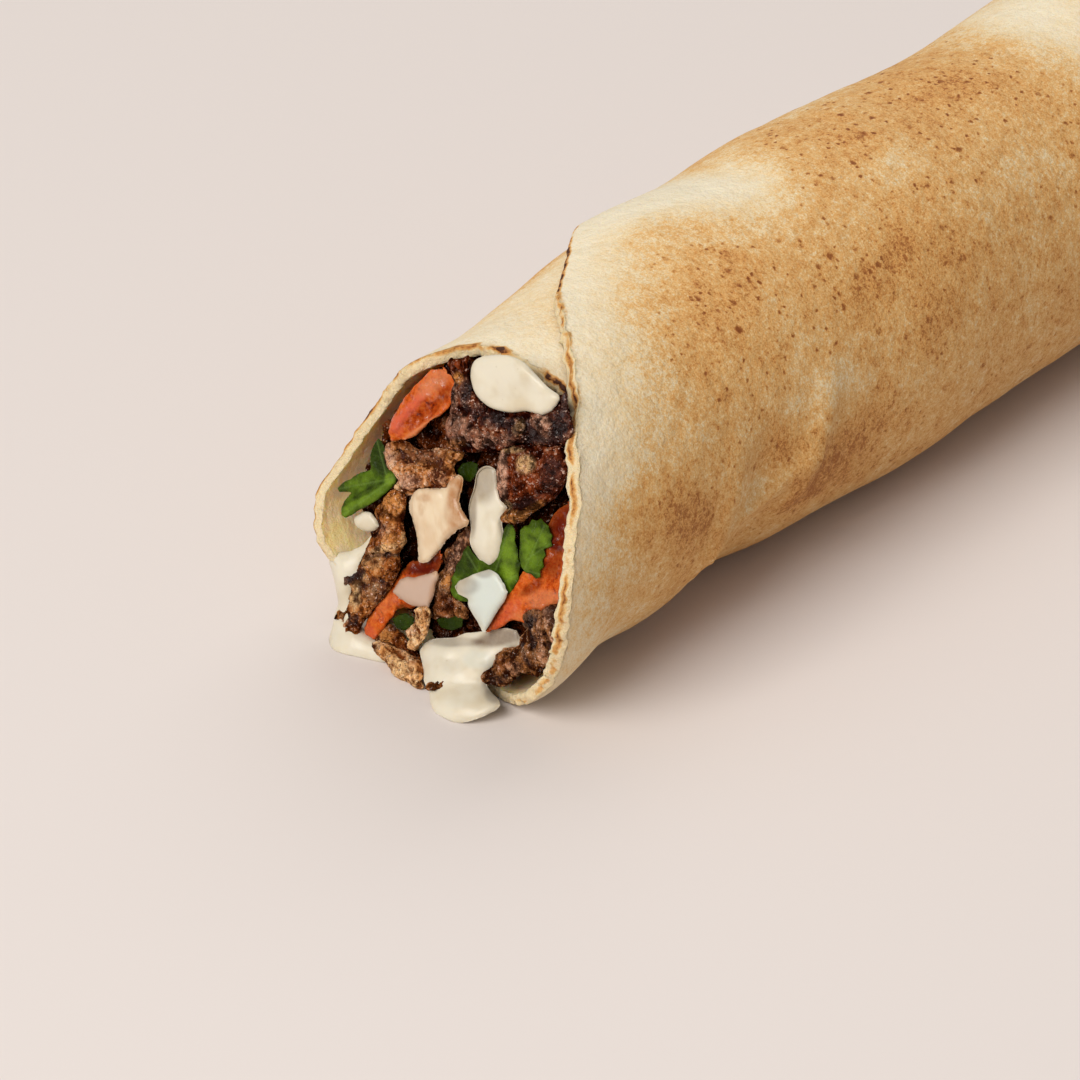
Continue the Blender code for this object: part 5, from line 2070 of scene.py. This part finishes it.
# The pours of sauce.
SAUCES: tuple[SaucePour, ...] = (
    SaucePour(
        "sauce_over_edge", "sauce_top",
        (
            (470, 366), (474, 360), (482, 356), (494, 354), (506, 354), (516, 357), (525, 363), (532, 371),
            (541, 380), (551, 388), (561, 395), (561, 401), (557, 407), (551, 413), (543, 416), (535, 414),
            (527, 410), (519, 412), (508, 413), (498, 411), (489, 407), (482, 401), (476, 394), (472, 386),
            (469, 376),
        ),
        proud=0.3, depth=9, edge=1.9, drop=1.0, voxel=0.34, seed=3,
        marks=(Mark(520, 374, 22, 9, 0.5), Mark(500, 400, 26, 8, -0.4), Mark(548, 400, 8, 10, 0.4)),
    ),
    SaucePour(
        "running_sauce", "sauce_stream",
        (
            (476, 472), (481, 466), (489, 464), (496, 468), (498, 479), (499, 490), (502, 499), (508, 506),
            (506, 515), (502, 522), (504, 532), (505, 542), (503, 552), (500, 560), (495, 566), (489, 569),
            (483, 565), (477, 558), (472, 550), (469, 541), (471, 530), (469, 519), (468, 508), (470, 498),
            (474, 487),
        ),
        proud=-0.7, depth=4, edge=2.6, drop=2.0, seed=4,
        marks=(
            # Its char marks are painted shade on its upper part and down its left side.
            Mark(483, 480, 14, 22, -1.2, CHAR, 0.5), Mark(472, 515, 5, 22, -0.6, CHAR, 0.5),
            Mark(487, 540, 12, 18, 0.6),
        ),
    ),
    SaucePour(
        "sauce_on_leaf", "sauce_drop",
        (
            (454, 586), (458, 580), (466, 577), (474, 573), (483, 570), (491, 568), (498, 573), (504, 581),
            (509, 592), (506, 601), (500, 609), (495, 617), (489, 627), (484, 635), (480, 629), (476, 621),
            (471, 612), (467, 604), (470, 599), (463, 597), (457, 594),
        ),
        proud=0.6, depth=2.6, edge=2.0, drop=1.4, seed=5,
        marks=(
            Mark(490, 600, 26, 34, 0.3, LIGHT, 0.9), Mark(466, 586, 13, 9, -0.3, CHAR, 0.4),
            Mark(484, 572, 9, 6, -0.3, CHAR, 0.4),
        ),
    ),
    SaucePour(
        "small_sauce_dab", "sauce_dab",
        (
            (352, 518), (357, 514), (364, 511), (371, 512), (377, 520), (381, 527), (376, 531), (369, 532),
            (361, 530), (355, 526),
        ),
        proud=-2.6, depth=2.4, edge=1.4, drop=1.0, seed=9,
    ),
    SaucePour(
        "spilled_sauce", "sauce_pool",
        (
            (432, 638), (442, 637), (454, 637), (464, 632), (478, 631), (492, 629), (506, 626), (518, 629),
            (522, 638), (520, 648), (510, 652), (503, 658), (498, 668), (491, 676), (486, 684), (491, 692),
            (500, 700), (502, 706), (497, 711), (487, 716), (476, 721), (464, 724), (452, 725), (441, 721),
            (433, 713), (429, 703), (428, 692), (422, 682), (423, 671), (420, 660), (418, 650), (424, 642),
        ),
        lie=POURED, depth=5, edge=3.2, drop=2.2, voxel=0.34, seed=6,
        marks=(
            # The char marks along its top are painted shade where it lies deep in the mouth; the small one
            # low on the right is a meat juice stain.
            Mark(500, 638, 26, 8, -0.8, CHAR, 0.75, 10), Mark(455, 642, 26, 5, -0.5, CHAR, 0.4),
            Mark(478, 660, 14, 9, 0.8, LIGHT, 0.4), Mark(452, 660, 16, 8, -0.7), Mark(462, 705, 22, 12, 0.8),
            Mark(470, 684, 16, 6, -0.4), Mark(493, 695, 8, 7, -0.2, CHAR, 0.35),
        ),
    ),
    SaucePour(
        "sauce_outside", "sauce_left",
        (
            (374, 530), (362, 544), (347, 550), (331, 552), (327, 560), (331, 571), (334, 582), (336, 593),
            (338, 604), (333, 614), (331, 625), (328, 637), (325, 649), (333, 656), (345, 660), (360, 663),
            (376, 664), (390, 663), (397, 667), (396, 655), (386, 646), (372, 638), (362, 630), (356, 612),
            (358, 596), (366, 575), (372, 552),
        ),
        lie=OUTSIDE, proud=-1.2, depth=5, edge=2.6, drop=1.8, voxel=0.34, seed=7,
        marks=(Mark(338, 574, 18, 30, 2.6), Mark(345, 625, 14, 18, 0.8)),
    ),
)

# The tomato, the onion and the parsley.
VEGETABLES: tuple[TracedPiece, ...] = (
    TomatoPiece(
        "upper_tomato", "tomato_upper_left",
        (
            (391, 441), (388, 433), (392, 421), (397, 409), (404, 398), (411, 388), (420, 378), (431, 370),
            (443, 367), (453, 372), (456, 384), (455, 398), (449, 407), (441, 413), (433, 420), (424, 428),
            (412, 436), (400, 442),
        ),
        proud=-2.0, depth=4.5, edge=1.0, drop=0.6, seed=31,
        marks=(
            Mark(409, 410, 34, 5, 1.0, PALE, 0.8, 47), Mark(434, 382, 20, 9, -0.8, LIGHT, 0.6, 40),
            Mark(428, 412, 30, 7, -0.9, RED, 0.35, 42), Mark(419, 429, 24, 2, 0.4, LIGHT, 0.8, 36),
            Mark(397, 426, 6, 10, 0.2, PALE, 0.6, 20), Mark(444, 388, 8, 12, -0.5, RED, 0.3),
        ),
    ),
    TomatoPiece(
        "lower_tomato", "tomato_lower_left",
        (
            (441, 549), (443, 560), (438, 572), (427, 590), (418, 605), (412, 608), (404, 607), (397, 610),
            (394, 615), (390, 619), (386, 623), (383, 628), (380, 630), (377, 636), (373, 640), (369, 637),
            (365, 636), (362, 631), (364, 625), (368, 617), (373, 610), (380, 601), (387, 591), (393, 583),
            (398, 576), (403, 569), (410, 561), (420, 560), (430, 556),
        ),
        proud=-1.8, depth=4, edge=0.8, drop=0.5, seed=33,
        marks=(
            Mark(424, 564, 26, 12, -0.8, RED, 1.0), Mark(368, 632, 7, 10, 0.1, PALE, 0.5, 40),
            Mark(383, 608, 6, 16, 0.4, LIGHT, 0.25, -40), Mark(405, 608, 10, 5, -0.4, RED, 0.7),
        ),
    ),
    TomatoPiece(
        "right_tomato", "tomato_right",
        (
            (483, 635), (488, 629), (497, 611), (505, 598), (511, 590), (517, 580), (522, 570), (530, 571),
            (538, 574), (541, 564), (544, 550), (548, 540), (549, 528), (550, 517), (558, 510), (570, 500),
            (574, 514), (574, 528), (571, 538), (569, 548), (567, 560), (565, 572), (564, 582), (564, 594),
            (562, 603), (552, 606), (546, 608), (541, 612), (533, 610), (526, 613), (524, 618), (529, 625),
            (520, 622), (512, 621), (504, 625), (495, 630), (488, 633),
        ),
        proud=-1.6, depth=5, edge=0.9, drop=0.5, seed=35,
        marks=(
            # The two red marks at the top are painted shade, where the slice lies deep between the bread's
            # edge and the leaf.
            Mark(560, 520, 16, 28, -0.6, RED, 0.95), Mark(553, 555, 13, 24, 0.3, RED, 0.6),
            Mark(532, 588, 14, 5, -0.7, RED, 0.5, 30), Mark(545, 600, 18, 10, 0.3, LIGHT, 0.55),
            Mark(506, 614, 20, 8, 0.2, PALE, 0.45, 45), Mark(520, 616, 9, 5, 0.1, LIGHT, 0.4),
            Mark(520, 590, 7, 10, 0.3),
        ),
    ),
    OnionPiece(
        "middle_onion", "onion_middle",
        (
            (412, 493), (418, 488), (430, 488), (440, 488), (449, 480), (458, 473), (464, 477), (462, 489),
            (459, 498), (461, 507), (466, 516), (470, 521), (467, 527), (459, 530), (452, 535), (446, 542),
            (441, 549), (434, 556), (428, 563), (423, 564), (418, 562), (417, 552), (418, 541), (416, 530),
            (413, 520), (409, 512), (408, 503),
        ),
        proud=-0.5, depth=3.6, edge=1.8, drop=1.3, seed=41,
        marks=(
            Mark(456, 492, 9, 20, -0.5, GOLDEN, 0.9), Mark(463, 486, 5, 14, -0.3, GOLDEN, 0.4),
            Mark(462, 520, 12, 10, 0, GOLDEN, 0.8), Mark(450, 512, 6, 16, -0.3, GOLDEN, 0.3),
            Mark(424, 498, 7, 4, 0.3, GOLDEN, 0.5), Mark(448, 535, 5, 10, 0, GOLDEN, 0.4, -40),
            Mark(430, 515, 14, 20, 0.4), Mark(421, 510, 3, 6, 0.0, GOLDEN, 0.4),
        ),
    ),
    OnionPiece(
        "lower_onion", "onion_lower",
        (
            (391, 592), (394, 586), (399, 579), (406, 577), (414, 577), (422, 575), (430, 572), (437, 570),
            (440, 576), (436, 583), (435, 592), (432, 601), (429, 608), (421, 609), (413, 607), (405, 603),
            (397, 598),
        ),
        proud=-0.2, depth=2.8, edge=1.3, drop=1.0, seed=43,
        marks=(
            Mark(414, 590, 30, 26, 0.2, PALE, 1), Mark(434, 596, 5, 14, -0.2, GOLDEN, 0.5),
            Mark(437, 572, 5, 4, 0, GOLDEN, 0.5),
        ),
    ),
    ParsleyLeaf(
        "left_parsley", "parsley_left",
        (
            (337, 488), (343, 482), (350, 479), (355, 475), (361, 472), (367, 471), (371, 469), (370, 462),
            (370, 455), (372, 449), (374, 444), (378, 438), (381, 441), (384, 446), (385, 453), (384, 460),
            (387, 468), (393, 472), (397, 477), (396, 483), (391, 488), (385, 494), (379, 499), (372, 503),
            (366, 507), (359, 510), (352, 515), (345, 518), (341, 515), (341, 508), (344, 501), (349, 495),
            (352, 492), (346, 492), (339, 492),
        ),
        proud=-1.6, seed=51, veins=((394, 478, 338, 489), (394, 478, 344, 514), (386, 474, 377, 441)),
        marks=(
            Mark(366, 499, 24, 7, 0.5, LIGHT, 0.45, 32), Mark(378, 455, 9, 18, -0.6, CHAR, 0.85),
            Mark(356, 486, 20, 6, 0.2, LIGHT, 0.15, 20), Mark(390, 479, 5, 6, 0.3, LIGHT, 0.7),
            Mark(366, 492, 20, 2.5, -0.5, CHAR, 0.7, 30), Mark(344, 512, 5, 6, 0.2, LIGHT, 0.8),
        ),
    ),
    ParsleyLeaf(
        "middle_parsley", "parsley_middle",
        (
            (468, 545), (472, 552), (479, 560), (489, 562), (497, 550), (502, 537), (504, 529), (508, 523),
            (513, 525), (516, 533), (515, 541), (518, 549), (518, 557), (521, 565), (519, 573), (519, 580),
            (515, 586), (511, 593), (503, 596), (492, 600), (480, 604), (468, 602), (459, 601), (453, 597),
            (450, 590), (452, 583), (451, 578), (455, 572), (456, 565), (461, 559), (463, 551),
        ),
        proud=-1.3, seed=53,
        veins=((489, 590, 509, 528), (489, 590, 466, 552), (489, 590, 456, 594), (489, 590, 516, 575)),
        marks=(
            Mark(464, 562, 11, 15, -0.6, CHAR, 0.8), Mark(510, 556, 7, 26, 0.3, LIGHT, 0.6),
            Mark(505, 578, 10, 8, 0.2, LIGHT, 0.4),
        ),
    ),
    ParsleyLeaf(
        "right_parsley", "parsley_right",
        (
            (520, 530), (524, 526), (529, 525), (532, 519), (537, 521), (541, 518), (545, 523), (549, 526),
            (550, 531), (553, 536), (551, 541), (553, 546), (548, 548), (544, 549), (546, 555), (543, 560),
            (544, 567), (540, 571), (541, 577), (536, 579), (531, 574), (526, 573), (521, 567), (519, 556),
            (520, 543),
        ),
        proud=-0.4, seed=55, veins=((524, 570, 544, 526), (524, 570, 539, 574), (526, 560, 549, 544)),
        marks=(
            Mark(541, 538, 10, 10, 0.2, LIGHT, 0.5), Mark(528, 552, 7, 16, 0.3, LIGHT, 0.35),
            Mark(532, 524, 10, 4, -0.4, CHAR, 0.6),
        ),
    ),
)

# Bits of leaf deep between the pieces, too small for solids of their own. Their char tone paints them near
# black: painted shade of the gaps.
SMALL_BITS: tuple[TracedPiece, ...] = (
    ParsleyLeaf(
        "leaf_bit_top", None,
        ((457, 470), (462, 463), (471, 461), (478, 464), (477, 474), (470, 482), (461, 479)),
        proud=-3.2, seed=57, marks=(Mark(467, 472, 16, 14, 0, CHAR, 1),),
    ),
    ParsleyLeaf(
        "leaf_bit_left", None,
        ((392, 619), (398, 615), (406, 613), (414, 618), (413, 627), (404, 631), (396, 628)),
        proud=-2.6, seed=58, marks=(Mark(403, 622, 16, 14, 0, CHAR, 0.9),),
    ),
    ParsleyLeaf(
        "leaf_bit_low", None,
        ((436, 620), (444, 616), (454, 615), (463, 619), (462, 627), (452, 631), (441, 628)),
        proud=-3.0, seed=59, marks=(Mark(450, 623, 18, 12, 0, CHAR, 1),),
    ),
)


@dataclass
class Filling:
    """Everything inside the bread, from the back to the front."""

    core: FillingCore = field(default_factory=FillingCore)
    pieces: tuple[TracedPiece, ...] = (*UPPER_MEATS, *LOWER_MEATS, *SAUCES, *VEGETABLES, *SMALL_BITS)

    def build(self) -> None:
        """Makes every piece of the filling."""
        self.core.build()
        for piece in self.pieces:
            piece.build()


# ---- the studio ----


@dataclass(frozen=True)
class Softbox:
    """A square soft light that looks at the mouth."""

    name: str
    azimuth: float
    elevation: float
    distance: float
    size: float
    power: float
    colour: Colour = (1.0, 0.98, 0.95)
    aim: tuple = (-0.05, 0, 0.03)

    def build(self) -> None:
        """Hangs the light."""
        data = bpy.data.lights.new(self.name, "AREA")
        data.shape = "SQUARE"
        data.size, data.energy, data.color = self.size, self.power, self.colour
        turn, rise = math.radians(self.azimuth), math.radians(self.elevation)
        away = Vector((math.cos(rise) * math.cos(turn), math.cos(rise) * math.sin(turn), math.sin(rise)))
        lamp = bpy.data.objects.new(self.name, data)
        lamp.location = Vector(self.aim) + away * self.distance
        lamp.rotation_euler = (-away).to_track_quat("-Z", "Y").to_euler()
        bpy.context.scene.collection.objects.link(lamp)


@dataclass(frozen=True)
class Studio:
    """A pale floor, soft light from the mouth's side, and the camera at the photograph's angle."""

    floor_colour: Colour = (0.715, 0.645, 0.605)
    sky: Colour = (0.98, 0.985, 1.0)
    sky_strength: float = 0.31
    lights: tuple[Softbox, ...] = (
        Softbox("key", 182, 38, 2.6, 1.7, 72.0),
        Softbox("back_fill", 20, 48, 2.6, 2.2, 24.0, (1.0, 0.99, 0.98)),
    )

    def camera(self) -> None:
        """Sets up the camera."""
        data = bpy.data.cameras.new("camera")
        data.lens, data.sensor_width = SIGHT.lens, SIGHT.sensor
        data.clip_start, data.clip_end = 0.01, 20
        camera = bpy.data.objects.new("camera", data)
        bpy.context.scene.collection.objects.link(camera)
        axes = Matrix((SIGHT.right, SIGHT.up, -SIGHT.forward)).transposed().to_4x4()
        camera.matrix_world = Matrix.Translation(SIGHT.eye) @ axes
        bpy.context.scene.camera = camera

    def floor(self) -> None:
        """Lays the pale floor."""
        bm = bmesh.new()
        bmesh.ops.create_grid(bm, x_segments=1, y_segments=1, size=3)
        bmesh.ops.translate(bm, verts=bm.verts, vec=(0, 0, -0.05 * MM))
        made = bpy.data.objects.new("floor", to_mesh(bm, "floor"))
        graph = ShaderGraph("pale_floor")
        graph.finish(Base_Color=(*self.floor_colour, 1), Roughness=0.8, Specular_IOR_Level=0.2)
        made.data.materials.append(graph.material)
        bpy.context.scene.collection.objects.link(made)

    def build(self) -> None:
        """Sets the stage."""
        self.camera()
        self.floor()
        for light in self.lights:
            light.build()
        world = bpy.data.worlds.new("studio")
        world.use_nodes = True
        background = world.node_tree.nodes["Background"]
        background.inputs["Color"].default_value = (*self.sky, 1)
        background.inputs["Strength"].default_value = self.sky_strength
        bpy.context.scene.world = world
        bpy.context.scene.view_settings.view_transform = "Standard"


def main() -> None:
    """Builds the sandwich and its studio."""
    logging.basicConfig(level=logging.INFO, format="%(message)s")
    Studio().build()
    Flatbread().build()
    Filling().build()


if __name__ == "__main__":
    main()
